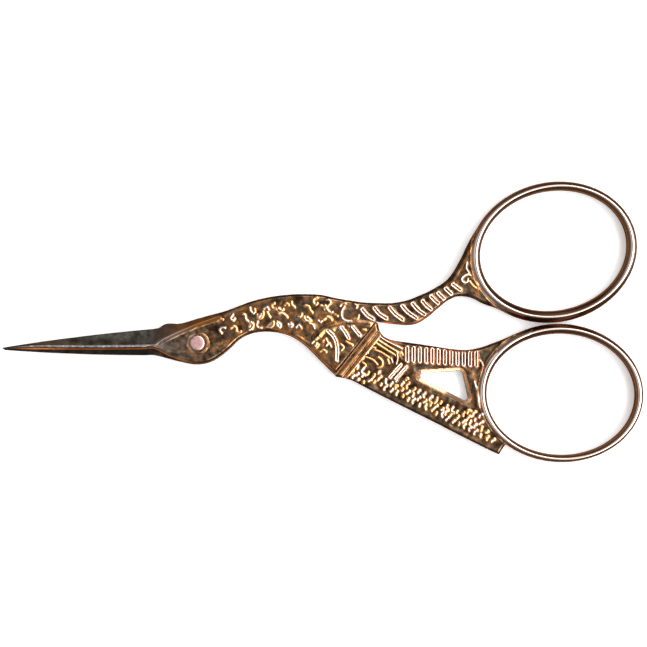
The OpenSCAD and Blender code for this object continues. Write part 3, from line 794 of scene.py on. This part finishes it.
def skin(field, grid, z):
    """Vertices in millimetres and quads that wrap the region where the field is positive."""
    solid = field > 0
    nx, ny, nz = (n - 1 for n in field.shape)
    count = sum(solid[i : nx + i, j : ny + j, k : nz + k].astype(np.uint8) for i, j, k in CORNERS)
    mixed = (count > 0) & (count < 8)
    cells = np.argwhere(mixed)
    number = np.full(mixed.shape, -1, np.int32)
    number[mixed] = np.arange(len(cells))
    ci, cj, ck = cells.T
    value = np.stack([field[ci + i, cj + j, ck + k] for i, j, k in CORNERS], 1)
    total, hits = np.zeros((len(cells), 3)), np.zeros(len(cells))
    for a, b in CELL_EDGES:
        crossed = (value[:, a] > 0) != (value[:, b] > 0)
        gap = np.where(crossed, value[:, a] - value[:, b], 1)
        t = np.where(crossed, value[:, a] / gap, 0)[:, None]
        p, q = np.array(CORNERS[a], float), np.array(CORNERS[b], float)
        total += (p + t * (q - p)) * crossed[:, None]
        hits += crossed
    start = np.array([grid["x"][0], grid["y"][0], z[0]])
    points = start + (cells + total / hits[:, None]) * [GRID, GRID, LAYER]
    quads = []
    for axis in range(3):
        b, c = (axis + 1) % 3, (axis + 2) % 3
        here = [slice(0, None)] * 3
        there = [slice(0, None)] * 3
        here[axis], there[axis] = slice(0, -1), slice(1, None)
        first, second = solid[tuple(here)], solid[tuple(there)]
        for leaves in (True, False):
            at = np.argwhere(first & ~second if leaves else ~first & second)
            ring = []
            for db, dc in ((1, 1), (0, 1), (0, 0), (1, 0)):
                cell = at.copy()
                cell[:, b] -= db
                cell[:, c] -= dc
                ring.append(number[cell[:, 0], cell[:, 1], cell[:, 2]])
            quad = np.stack(ring, 1)
            quads.append(quad if leaves else quad[:, ::-1])
    return points, np.vstack(quads)


print("a cell has", len(CORNERS), "corners and", len(CELL_EDGES), "edges")

# %% [markdown]
# The ring is a field of its own: a flat-bellied bar whose top falls off as a parabola and then as a
# quarter round. The parabola is flatter at the ring's sides than at its top and bottom, so that the line
# of light on it is broad and white there and thin elsewhere, as in the photograph. Where it would fall
# too deep, it goes on as a straight slope from the bend, so that the bar keeps its full width.


# %% Bar of a finger ring
RING_FROM = 36  # the rings lie to the right of this x
RING_EDGE, RING_ROUND = 0.28, 0.45  # width and depth of the quarter round
RING_FALL = 0.75  # how deep the parabola and the slope after it may fall


def ring_bar(part, ring, z):
    """The field of a ring's bar over the part of the grid where the ring lies."""
    out_of_hole = -depth_in(part, bar_point(ring, AROUND, 0), 4)
    in_outline = depth_in(part, bar_point(ring, AROUND, 1), 4)
    wide = np.maximum(out_of_hole + in_outline, 0.6)
    off = (np.abs((out_of_hole - in_outline) / wide) * wide / 2)[:, :, None]
    upright = 0.8 + 1.8 * ((part["Y"] - ring["centre"][1]) / 9) ** 2
    bend = (wide / 2 - np.sqrt(np.maximum(wide**2 / 4 - RING_FALL / upright, 0)))[:, :, None]
    upright, wide = upright[:, :, None], wide[:, :, None]
    e = np.clip((off - (wide / 2 - RING_EDGE)) / RING_EDGE, 0, 0.995)
    drop = upright * np.where(off < bend, off**2, bend * (2 * off - bend))
    top = MID - 0.02 - drop - RING_ROUND * (1 - np.sqrt(1 - e**2))
    tilt = 2 * upright * np.minimum(off, bend) + RING_ROUND / RING_EDGE * e / np.sqrt(1 - e**2)
    bar = np.minimum((top - np.abs(z)) / np.sqrt(1 + tilt**2), wide / 2 - 0.015 - off)
    return bar.astype(np.float32)


for name, ring in (("upper", UPPER_RING), ("lower", LOWER_RING)):
    print("the", name, "ring's hole is", ring["hole"][0], "by", ring["hole"][1], "mm")

# %% [markdown]
# A half is the region under its front map, over its back map and inside its outline, merged with its
# ring. The rivet's seat is taken out of it: a bore that widens into a countersink.


# %% Solid field of one half
FLARE, FLARE_DEPTH = 0.35, 0.45  # how far the seat widens, and over what depth


def merged(a, b, fillet=0.3):
    """The union of two fields, with a small fillet where they meet."""
    h = np.clip(fillet - np.abs(a - b), 0, None)
    return np.maximum(a, b) + h * h / (4 * fillet)


def slope_length(height):
    """How much longer a step along the surface is than its shadow, to keep fields even."""
    gx, gy = np.gradient(height, GRID)
    return np.sqrt(1 + gx**2 + gy**2)


def solid_half(grid, depth, ring, front, back):
    """The field of one half with its finger ring. Heights are measured from the mid-plane."""
    z = np.arange(-MID - 2.5 * LAYER, MID + 3 * LAYER, LAYER).astype(np.float32)
    depth = np.minimum(depth, -depth_in(grid, bar_point(ring, AROUND, 0.45)))
    field = ((front[:, :, None] - z) / slope_length(front)[:, :, None]).astype(np.float32)
    over_back = ((z - back[:, :, None]) / slope_length(back)[:, :, None]).astype(np.float32)
    for limit in (over_back, depth[:, :, None].astype(np.float32)):
        np.minimum(field, limit, out=field)
    i = np.searchsorted(grid["x"], RING_FROM)
    part = {"x": grid["x"][i:], "y": grid["y"], "X": grid["X"][i:], "Y": grid["Y"][i:]}
    field[i:] = merged(field[i:], ring_bar(part, ring, z))
    np.minimum(field, MID - np.abs(z), out=field)
    return field, z


def rivet_seat(grid, z, radius):
    """Distance outside the rivet's seat, which opens towards the face at z = MID."""
    bore = np.hypot(grid["X"], grid["Y"]) - radius
    widening = np.clip((z - MID + FLARE_DEPTH) / FLARE_DEPTH, 0, 1)
    return (bore[:, :, None] - FLARE * widening).astype(np.float32)


print("each field has", len(np.arange(-MID - 2.5 * LAYER, MID + 3 * LAYER, LAYER)), "layers")

# %% [markdown]
# The skin becomes a Blender mesh, and the maps become attributes on its points, which the material
# reads by name. Whole arrays are handed over, which is far quicker than adding quads one by one.


# %% Mesh of a piece
def piece_of(name, points, quads, finish):
    """A smooth mesh object, with what the finish needs to know stored on its points."""
    mesh = bpy.data.meshes.new(name)
    mesh.vertices.add(len(points))
    mesh.vertices.foreach_set("co", ((points + [0, 0, MID]) * MM).astype(np.float32).ravel())
    mesh.loops.add(quads.size)
    mesh.loops.foreach_set("vertex_index", quads.astype(np.int32).ravel())
    mesh.polygons.add(len(quads))
    mesh.polygons.foreach_set("loop_start", np.arange(0, quads.size, 4, dtype=np.int32))
    mesh.polygons.foreach_set("loop_total", np.full(len(quads), 4, np.int32))
    mesh.update(calc_edges=True)
    mesh.validate()
    mesh.shade_smooth()
    for kind, values in finish.items():
        layer = mesh.attributes.new(kind, "FLOAT", "POINT")
        layer.data.foreach_set("value", values.astype(np.float32))
    made = bpy.data.objects.new(name, mesh)
    bpy.context.scene.collection.objects.link(made)
    print(name, len(points), "points,", len(quads), "quads")
    return made


print("a quad of the skin is about", round(GRID * 1000), "micrometres wide")

# %% [markdown]
# Fingers and wheel have polished the bars of the rings most, and the edges of the bars get a painted
# golden reflection line. The inner faces get no polish: there the halves rub the plate down to ground
# steel.

# %% Finish of a piece
RING_POLISH, RIM_GOLD_SHEEN = 0.75, 0.5


def ring_polish(grid, ring):
    """How brightly fingers and wheel have polished each spot: strong on the bar of the ring."""
    past_hole = ease(-depth_in(grid, bar_point(ring, AROUND, 0)), -0.2, 0.1)
    return RING_POLISH * past_hole * ease(depth_in(grid, bar_point(ring, AROUND, 1)), 0.1, 0.3)


def ring_rims(grid, ring):
    """The two thin edges of a ring's bar, which get a painted golden reflection line."""
    inner = near(grid, bar_point(ring, AROUND, 0), 0.5, closed=True)
    outer = near(grid, bar_point(ring, AROUND, 1), 0.5, closed=True)
    return RIM_GOLD_SHEEN * (1 - ease(np.minimum(inner, outer), 0.1, 0.2))


def looked_up(grid, values, points):
    """The value of a map under each point."""
    i = np.clip(np.round((points[:, 0] - grid["x"][0]) / GRID).astype(int), 0, len(grid["x"]) - 1)
    j = np.clip(np.round((points[:, 1] - grid["y"][0]) / GRID).astype(int), 0, len(grid["y"]) - 1)
    return values[i, j]


def finish_of(grid, points, running, crest, gold_sheen, shade):
    """What the finish needs to know at each point, with running true where the halves rub."""
    return {
        "crest": looked_up(grid, crest, points) * ~running,
        "gold_sheen": looked_up(grid, gold_sheen, points) * ~running,
        "shade": looked_up(grid, shade, points),
        "ground": running,
    }


print("rings are polished to", RING_POLISH, "and their rims gilded to", RIM_GOLD_SHEEN)

# %% [markdown]
# The bird half is the front one. A plane at the seam frees its wing from the strip of the leg half that
# lies behind, the faces that run on each other lie 0.02 mm off the mid-plane, and the rivet's seat is
# taken out of the head.

# %% Bird half
BIRD_BORE, LEG_BORE = 0.78, 0.75  # the bird half turns on the rivet, the leg half holds it
RUNS = 0.1  # points this near the mid-plane lie on a running face
bird_field, z = solid_half(bird_grid, bird_depth, UPPER_RING, bird_high_map, -bird_high_map)
past_seam = (bird_grid["X"] - SEAM_END[0]) * SEAM_UP[0] + (bird_grid["Y"] - SEAM_END[1]) * SEAM_UP[1]
past_seam = past_seam.astype(np.float32)[:, :, None]
for limit in (np.maximum(past_seam, z - RUNNING_GAP), rivet_seat(bird_grid, z, BIRD_BORE)):
    np.minimum(bird_field, limit, out=bird_field)
points, quads = skin(bird_field, bird_grid, z)
crest, gold_sheen, shade = bird_maps
crest = np.maximum(crest, ring_polish(bird_grid, UPPER_RING))
gold_sheen = np.maximum(gold_sheen, ring_rims(bird_grid, UPPER_RING))
rubbed_depth = looked_up(bird_grid, bird_depth, points)
running = (np.abs(points[:, 2]) < RUNS) & (rubbed_depth > 0.08) & (points[:, 0] < RING_FROM)
finish = finish_of(bird_grid, points, running, crest, gold_sheen, shade)
bird = piece_of("bird_half_plated", points, quads, finish)
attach(bird, "bird")
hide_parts("bird_half")

# %% [markdown]
# The leg half is built the same way. Its front is plain where the bird covers it, then comes the stepped
# cuff, then the legs. Its back shows when the scissors are turned over, so the body there has the scales
# and feathers too.

# %% Faces of the leg half
x, y = leg_grid["X"], leg_grid["Y"]
right = ((x - STOP_TOP[0]) * STOP_RIGHT[0] + (y - STOP_TOP[1]) * STOP_RIGHT[1]).astype(np.float32)
plain = np.minimum(crown(leg_depth, MID, BORDER), MID)
front = np.where(right < CUFF_END, np.minimum(plain, cuff(right)), np.minimum(web, plain))
front = np.where(right < 0, plain, front)
rear_blade = ground_face(leg_grid, leg_high, leg_low, True)
scaled = np.zeros_like(x)
ridges(leg_grid, scaled, SCALES, 0.24, 0.16)
ridges(leg_grid, scaled, WING_HOOKS, 0.2, 0.14)
outlines(leg_grid, scaled, WING_BARS, 0.2, 0.15)
back_ground = 0.16 * ease(leg_depth, 0.6, 0.85) * ease(x, 2.4, 4.2)
back_body = MID - back_ground + np.minimum(scaled, back_ground)
back_body = np.minimum(crown(leg_depth, MID, BORDER), back_body)
back = np.where(right > 1.05, np.minimum(front, MID), back_body)
back = rear_blade + (back - rear_blade) * ease(x, -6.8, -4.0)
print("the scales on its back stand up to", scaled.max().round(2), "mm high")

# %% [markdown]
# Then the field is cut. Left of the stop line only what lies behind the mid-plane stays, the window goes
# through, and the rivet's seat opens towards the back. The edges and lines of the cuff are polished, and
# get painted golden reflection lines, by their distance from the stop line.

# %% Leg half
CUFF_POLISH = [(0.12, 0.25, 0.5), (1.48, 1.72, 0.5), (0.55, 0.85, 0.25)]  # from, to, how bright
CUFF_GOLD = [(-0.1, 0.22), (1.33, 1.65)]  # from, to
leg_field, z = solid_half(leg_grid, leg_depth, LOWER_RING, front, -back)
opening = (-depth_in(leg_grid, window_loop())).astype(np.float32)[:, :, None]
behind = np.maximum(right[:, :, None], -RUNNING_GAP - z)
for limit in (behind, opening, rivet_seat(leg_grid, -z, LEG_BORE)):
    np.minimum(leg_field, limit, out=leg_field)
points, quads = skin(leg_field, leg_grid, z)
leg_crest = np.maximum(leg_crest, ring_polish(leg_grid, LOWER_RING))
crest = np.maximum(leg_crest * (right > 1.7), np.where(right < 0, np.clip(scaled / 0.15, 0, 1), 0))
for start, end, shine in CUFF_POLISH:
    crest = np.where((right > start) & (right < end), shine, crest)
# Bands of the cuff that get a painted golden reflection line.
gold = sum((right > start) & (right < end) for start, end in CUFF_GOLD)
gold_sheen = np.where(right > CUFF_GOLD[-1][1], leg_gold_sheen, 0.85 * gold)
gold_sheen = np.maximum(gold_sheen, ring_rims(leg_grid, LOWER_RING))
# Painted shadow beside the marks, on the legs and on the scales of the back.
shade = np.where(right > 1.7, leg_shade, painted_mark_shadow(scaled))
rubbed_depth = looked_up(leg_grid, np.minimum(depth_in(leg_grid, bird_loop, 0.5), leg_depth), points)
left_of_stop = looked_up(leg_grid, right, points) < 0
running = (np.abs(points[:, 2]) < RUNS) & left_of_stop & (rubbed_depth > 0.08)
finish = finish_of(leg_grid, points, running, crest, gold_sheen, shade)
leg = piece_of("leg_half_plated", points, quads, finish)
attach(leg, "leg")
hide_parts("leg_half")


# %% [markdown]
# The rivet is a turned pin, peened flat at both ends and then ground. Its head is the stork's eye. A pin
# is round all the way, so its profile is turned round the axis, with a thin rounded edge that catches a
# line of light.


# %% Rivet
def lathe(name, profile, around=96):
    """Turns a profile of (radius, height) round the Z axis. It starts and ends on the axis."""
    p = np.array(profile, float)
    ring = np.radians(np.arange(around) * 360 / around)
    points = [(0, 0, p[0, 1])]
    for r, h in p[1:-1]:
        points += [(r * math.cos(a), r * math.sin(a), h) for a in ring]
    points.append((0, 0, p[-1, 1]))
    faces = [(0, 1 + k, 1 + (k + 1) % around) for k in range(around)]
    for row in range(len(p) - 3):
        a, b = 1 + row * around, 1 + (row + 1) * around
        faces += [(a + k, b + k, b + (k + 1) % around, a + (k + 1) % around) for k in range(around)]
    a, end = 1 + (len(p) - 3) * around, len(points) - 1
    faces += [(end, a + (k + 1) % around, a + k) for k in range(around)]
    mesh = bpy.data.meshes.new(name)
    mesh.from_pydata([tuple(v * MM for v in q) for q in points], [], faces)
    mesh.validate()
    mesh.shade_smooth()
    made = bpy.data.objects.new(name, mesh)
    bpy.context.scene.collection.objects.link(made)
    return made


HEAD = [(0, 2.6), (0.6, 2.598), (0.86, 2.59), (1.0, 2.567), (1.05, 2.54), (1.07, 2.5), (0.75, 2.15)]
rivet = lathe("rivet_polished", HEAD + [(r, 2 * MID - h) for r, h in HEAD[::-1]])
print("the rivet's head is", 2 * HEAD[-2][0], "mm across, in a seat", 2 * (BIRD_BORE + FLARE), "mm wide")
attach(rivet, "leg")
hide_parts("pivot_rivet")


# %% [markdown]
# The finish is a thin rose-gold plate over nickel-plated steel, polished on a soft wheel. The wheel
# reaches the ridges and not the ground between them, so crests are bright and smooth while the hollows
# keep a thin brown film. A Mix node has a set of sockets for each kind of value. For colours, the factor
# is input 0, the two colours are inputs 6 and 7, and the result is output 2.


# %% Colours and nodes
def linear(code):
    """A hex colour as it looks on a screen, turned into the linear light that Blender works in."""
    parts = [int(code[i : i + 2], 16) / 255 for i in (1, 3, 5)]
    return tuple(c / 12.92 if c <= 0.04045 else ((c + 0.055) / 1.055) ** 2.4 for c in parts) + (1.0,)


def put(tree, kind, inputs=None, **settings):
    """Adds one node. Each input is a plain value, a hex colour or the output socket of another node."""
    made = tree.nodes.new("ShaderNode" + kind)
    for name, value in settings.items():
        setattr(made, name, value)
    for name, value in (inputs or {}).items():
        if isinstance(value, bpy.types.NodeSocket):
            tree.links.new(value, made.inputs[name])
        else:
            made.inputs[name].default_value = linear(value) if isinstance(value, str) else value
    return made


print("the plate's white, #f6dccd, in linear light:", [round(c, 2) for c in linear("#f6dccd")])

# %% [markdown]
# Rose-gold plate on forged steel, copper-toned, laid on by electroplating and then buffed. The eye gets
# near-white crests with copper shoulders, upright sides painted golden as a painted reflection of the
# warm wall, and a cloudy film between them, part brown and part grey, with painted shadow darkest on the
# upper left of each mark. On the ground blades the plate is thin, so the film looks grey. Where each of
# these shows is a mask from 0 to 1, made from a noise, from the maps on the points or from the slope of
# the surface. The clouds are about 1.3 mm wide on the real thing, and their grey and copper patches half
# as wide.

# %% Masks of the plate
PLATE_NOISES = [  # name, scale, detail, roughness
    ("blotch", 750, 4, 0.6),
    ("tarnish", 1500, 3, 0.7),
    ("lines", 500, 5, 0.5),
    ("fine", 5000, 3, 0.5),
]
PLATE_MASKS = [  # name, what it is made from, where that gives 0, where it gives the most, the most
    ("cloud", "blotch", 0.36, 0.66, 1.0),
    ("patch", "tarnish", 0.42, 0.6, 1.0),
    ("blade", "along", 0.0, -0.007, 1.0),
    ("rubbed", "crest", 0.0, 0.45, 1.0),
    ("bare", "crest", 0.45, 0.8, 1.0),
    # Pale marks the strongest gold sheen, which gets a painted pale-gold reflection.
    ("pale", "gold_sheen", 0.55, 1.0, 1.0),
    # Upright and steep come from the slope of the surface, and place painted reflections on the sides.
    ("upright", "flatness", 0.5, 0.25, 1.0),
    ("steep", "flatness", 0.94, 0.78, 0.9),
]
print(len(PLATE_NOISES), "noises and", len(PLATE_MASKS), "masks")

# %% [markdown]
# The colours are laid over one another like coats, from the film to the bare steel of the running faces.
# Steep sides are painted mostly dark, as painted shade for the dark room that they mirror. Where the
# golden sheen is high they get a painted golden reflection instead: copper at first, then pale gold on
# the rim of the window. Upright walls are painted copper everywhere, a painted reflection of the warm
# wall.

# %% Coats of the plate
PLATE_COATS = [  # name, mask, colour where the mask is 0, colour where it is 1
    ("tone", "patch", "#91846c", "#c68959"),
    ("brown", "cloud", "#443225", "tone"),
    # Painted shadow beside the marks: the film darkens towards #1c120d.
    ("brown", "painted_shadow", "brown", "#1c120d"),
    ("grey", "cloud", "grey_dark", "grey_light"),
    ("film", "blade", "brown", "grey"),
    ("worn", "blade", "#e0954f", "#b8a8a0"),
    ("copper", "rubbed", "film", "worn"),
    ("face", "bare", "copper", "#f6dccd"),
    # Painted reflections on the sides: dark when steep, copper when upright or sheened, pale gold at most
    # sheen.
    ("dark", "blade", "#37291e", "#45403a"),
    ("wall", "cloud", "#c47d45", "#e9a062"),
    ("side", "sheened", "dark", "wall"),
    ("side", "pale", "side", "#fff1de"),
    ("plate", "steep", "face", "side"),
    ("steel", "lines", "#5c5854", "#b4afa9"),
    ("coat", "ground", "plate", "steel"),
]
print(len(PLATE_COATS), "coats, the last one", PLATE_COATS[-1][0])

# %% [markdown]
# Plate is a metal, so metallic is 1 and the IOR keeps its default, and buffed metal has a roughness of
# 0.1 to 0.2. Buffing lines are finer than a pixel, so the fine bump is drawn coarser, about 0.2 mm. Where
# the halves rub, straight grinding lines run along the blades: a noise that is stretched 14 times. The
# flatness is the Z of the surface's normal, up or down: 1 is flat and 0 is upright.


# %% Rose-gold plate
def rose_gold_plate(name, grey_dark, grey_light):
    """Polished rose-gold plating with a brown film, painted shade and reflections, and greyer on the
    ground blade.
    """
    mat = bpy.data.materials.new(name)
    mat.use_nodes = True
    tree = mat.node_tree
    shader = tree.nodes["Principled BSDF"]
    made = {"grey_dark": grey_dark, "grey_light": grey_light}
    for kind in ("crest", "gold_sheen", "shade", "ground"):
        made[kind] = put(tree, "Attribute", attribute_name=kind).outputs["Fac"]
    place = put(tree, "TexCoord").outputs["Object"]
    stretched = put(tree, "VectorMath", {0: place, 1: (1.0, 14.0, 1.0)}, operation="MULTIPLY").outputs[0]
    for kind, scale, detail, roughness in PLATE_NOISES:
        noise = {"Vector": stretched if kind == "lines" else place, "Scale": scale}
        noise |= {"Detail": detail, "Roughness": roughness}
        made[kind] = put(tree, "TexNoise", noise).outputs["Fac"]
    made["along"] = put(tree, "SeparateXYZ", {0: place}).outputs["X"]
    up = put(tree, "SeparateXYZ", {0: put(tree, "NewGeometry").outputs["Normal"]}).outputs["Z"]
    made["flatness"] = put(tree, "Math", {0: up}, operation="ABSOLUTE").outputs[0]
    for kind, source, none, full, most in PLATE_MASKS:
        span = {"Value": made[source], "From Min": none, "From Max": full, "To Max": most}
        made[kind] = put(tree, "MapRange", span).outputs["Result"]
    # Strength of the painted shadow: the shade map times 0.6.
    made["painted_shadow"] = put(tree, "Math", {0: made["shade"], 1: 0.6}, operation="MULTIPLY").outputs[0]
    # Sides that get a painted golden reflection: the golden-sheen map, and every upright wall.
    sheened = put(tree, "Math", {0: made["gold_sheen"], 1: 2.0}, operation="MULTIPLY", use_clamp=True).outputs[0]
    made["sheened"] = put(tree, "Math", {0: sheened, 1: made["upright"]}, operation="MAXIMUM").outputs[0]
    for kind, mask, low, high in PLATE_COATS:
        coat = {0: made[mask], 6: made.get(low, low), 7: made.get(high, high)}
        made[kind] = put(tree, "Mix", coat, data_type="RGBA").outputs[2]
    tree.links.new(made["coat"], shader.inputs["Base Color"])
    shader.inputs["Metallic"].default_value = 1.0
    rough = {"Value": made["crest"], "From Max": 0.7, "To Min": 0.22, "To Max": 0.12}
    tree.links.new(put(tree, "MapRange", rough).outputs["Result"], shader.inputs["Roughness"])
    bump = put(tree, "Bump", {"Strength": 0.25, "Distance": 0.00001, "Height": made["fine"]})
    tree.links.new(bump.outputs["Normal"], shader.inputs["Normal"])
    return mat


bird.data.materials.append(rose_gold_plate("rose_gold_plate", "#58524a", "#a89e90"))
# The leg half's copy has darker greys on its blade: painted shade for the strip under the front blade.
leg.data.materials.append(rose_gold_plate("rose_gold_plate_painted_shade", "#241f1b", "#4a4038"))
print("nodes in the plate:", len(bird.data.materials[0].node_tree.nodes))

# %% [markdown]
# Polished steel, peened: the hammer leaves the head slightly matt and cloudy, which gives the eye a soft
# pinkish disc, and the edge is rubbed bright. Metallic is 1, roughness 0.42 in the middle and 0.2 at the
# edge. The clouds are about 0.4 mm wide.


# %% Rivet steel
def rivet_steel():
    """The rivet's peened steel head under the same thin plate, brighter at its edge."""
    mat = bpy.data.materials.new("polished_rivet_steel")
    mat.use_nodes = True
    tree = mat.node_tree
    shader = tree.nodes["Principled BSDF"]
    place = put(tree, "TexCoord").outputs["Object"]
    blotch = put(tree, "TexNoise", {"Vector": place, "Scale": 2600, "Detail": 4}).outputs["Fac"]
    tint = put(tree, "Mix", {0: blotch, 6: "#85594f", 7: "#f0c4bb"}, data_type="RGBA")
    tree.links.new(tint.outputs[2], shader.inputs["Base Color"])
    shader.inputs["Metallic"].default_value = 1.0
    flat_place = put(tree, "VectorMath", {0: place, 1: (1.0, 1.0, 0.0)}, operation="MULTIPLY")
    radius = put(tree, "VectorMath", {0: flat_place.outputs[0]}, operation="LENGTH").outputs["Value"]
    rough = {"Value": radius, "From Min": 0.00088, "From Max": 0.00096, "To Min": 0.42, "To Max": 0.2}
    tree.links.new(put(tree, "MapRange", rough).outputs["Result"], shader.inputs["Roughness"])
    return mat


rivet.data.materials.append(rivet_steel())
print("nodes in the rivet's steel:", len(rivet.data.materials[0].node_tree.nodes))

# %% [markdown]
# The floor is a sheet of white paper. It glows a little, as paper on a light table does, which keeps the
# shadow as faint as in the photograph. On the real set the sheet ended soon and the dark room began, and
# steep sides of the metal mirror that, so reflections of the floor get a brown tone by the Light Path
# node. It lies a hair below the scissors, so that the two surfaces don't share one plane.

# %% Floor
HALF = 3.0  # metres
floor_mesh = bpy.data.meshes.new("floor")
corners = [(-HALF, -HALF, 0), (HALF, -HALF, 0), (HALF, HALF, 0), (-HALF, HALF, 0)]
floor_mesh.from_pydata(corners, [], [(0, 1, 2, 3)])
floor = bpy.data.objects.new("floor", floor_mesh)
floor.location.z = -0.00003
bpy.context.scene.collection.objects.link(floor)
paper = bpy.data.materials.new("white_paper_sweep")
paper.use_nodes = True
tree = paper.node_tree
shader = tree.nodes["Principled BSDF"]
mirrored = put(tree, "LightPath").outputs["Is Glossy Ray"]
tone = put(tree, "Mix", {0: mirrored, 6: "#f7f6f4", 7: "#84735f"}, data_type="RGBA")
tree.links.new(tone.outputs[2], shader.inputs["Base Color"])
shader.inputs["Roughness"].default_value = 0.9
shader.inputs["Specular IOR Level"].default_value = 0.1
glow = put(tree, "Math", {0: 1.0, 1: mirrored}, operation="SUBTRACT")
soft_glow = put(tree, "Math", {0: glow.outputs[0], 1: 0.4}, operation="MULTIPLY")
tree.links.new(soft_glow.outputs[0], shader.inputs["Emission Strength"])
shader.inputs["Emission Color"].default_value = linear("#f7f6f4")
floor_mesh.materials.append(paper)
print("paper,", 2 * HALF, "m wide")

# %% [markdown]
# A polished thing is mostly a picture of its room. A face tilted by an angle mirrors the light from
# twice that angle, so the room is painted by height: each lamp is a ramp of greys from the horizon at 0
# to straight up at 1. Straight up it is dark, and flat faces look dark. Round that lies a faint halo for
# gentle lumps. A broad soft box stands on the right at medium height, and puts the white lines on the
# slopes that face it. Low down, a warm wall goes all round and gilds steep sides.

# %% Room light
SOFT_BOX = [(0.45, 0.03), (0.64, 0.06), (0.74, 1.0), (0.9, 1.0), (0.95, 0.3), (0.98, 0.0)]
HALO = [(0.6, 0.028), (0.88, 0.036), (0.94, 0.15), (0.97, 0.16), (0.988, 0.07), (1.0, 0.018)]
LOW_WALL = [(0.0, 1.1), (0.25, 0.7), (0.45, 0.08), (0.6, 0.0)]
world = bpy.data.worlds.new("studio")
bpy.context.scene.world = world
world.use_nodes = True
sky = world.node_tree
way = put(sky, "TexCoord").outputs["Generated"]
height = put(sky, "SeparateXYZ", {0: way}).outputs["Z"]
greys = []
for stops in (SOFT_BOX, HALO, LOW_WALL):
    ramp = put(sky, "ValToRGB", {0: height})
    while len(ramp.color_ramp.elements) < len(stops):
        ramp.color_ramp.elements.new(0.5)
    for element, (position, value) in zip(ramp.color_ramp.elements, stops):
        element.position = position
        element.color = (value, value, value, 1)
    greys.append(ramp.outputs["Color"])
soft_box, halo, low_wall = greys
lean = put(sky, "VectorMath", {0: way, 1: (1.0, 0.1, 0.0)}, operation="DOT_PRODUCT").outputs["Value"]
near_side = {"Value": lean, "From Min": -0.05, "From Max": 0.35}
near_side = put(sky, "MapRange", near_side, interpolation_type="SMOOTHSTEP").outputs["Result"]
box = put(sky, "Math", {0: soft_box, 1: near_side}, operation="MULTIPLY").outputs[0]
power = put(sky, "Math", {0: box, 1: halo}, operation="ADD").outputs[0]
strength = put(sky, "Math", {0: power, 1: 6.2}, operation="MULTIPLY").outputs[0]
background = sky.nodes["Background"]
background.inputs["Color"].default_value = linear("#f3f8ff")
sky.links.new(strength, background.inputs["Strength"])
warm = put(sky, "Background", {"Color": "#ffd9ae", "Strength": low_wall})
both = put(sky, "AddShader", {0: background.outputs[0], 1: warm.outputs[0]})
sky.links.new(both.outputs[0], sky.nodes["World Output"].inputs["Surface"])
print("the soft box is brightest between heights", SOFT_BOX[2][0], "and", SOFT_BOX[3][0])

# %% [markdown]
# The photograph looks straight down on the scissors, from far enough that nothing is foreshortened. A
# long lens does that, and one pixel of the 647 is 0.14 mm of the object. In the picture the rivet lies
# 197 pixels from the left and 343 from the top.

# %% Camera
PIXEL, PICTURE = 0.14, 647
RIVET_X, RIVET_Y = 197, 343
LENS, SENSOR = 120.0, 36.0
middle = ((PICTURE / 2 - RIVET_X) * PIXEL, (RIVET_Y - PICTURE / 2) * PIXEL, 2 * MID)
centre = Vector(middle) * MM
camera_data = bpy.data.cameras.new("camera")
camera_data.lens = LENS
camera_data.sensor_width = SENSOR
camera = bpy.data.objects.new("camera", camera_data)
camera.location = centre + Vector((0, 0, PICTURE * PIXEL * MM / SENSOR * LENS))
bpy.context.scene.collection.objects.link(camera)
bpy.context.scene.camera = camera
bpy.context.scene.view_settings.view_transform = "Standard"
print("the camera stands", round(camera.location.z, 3), "m above the floor")
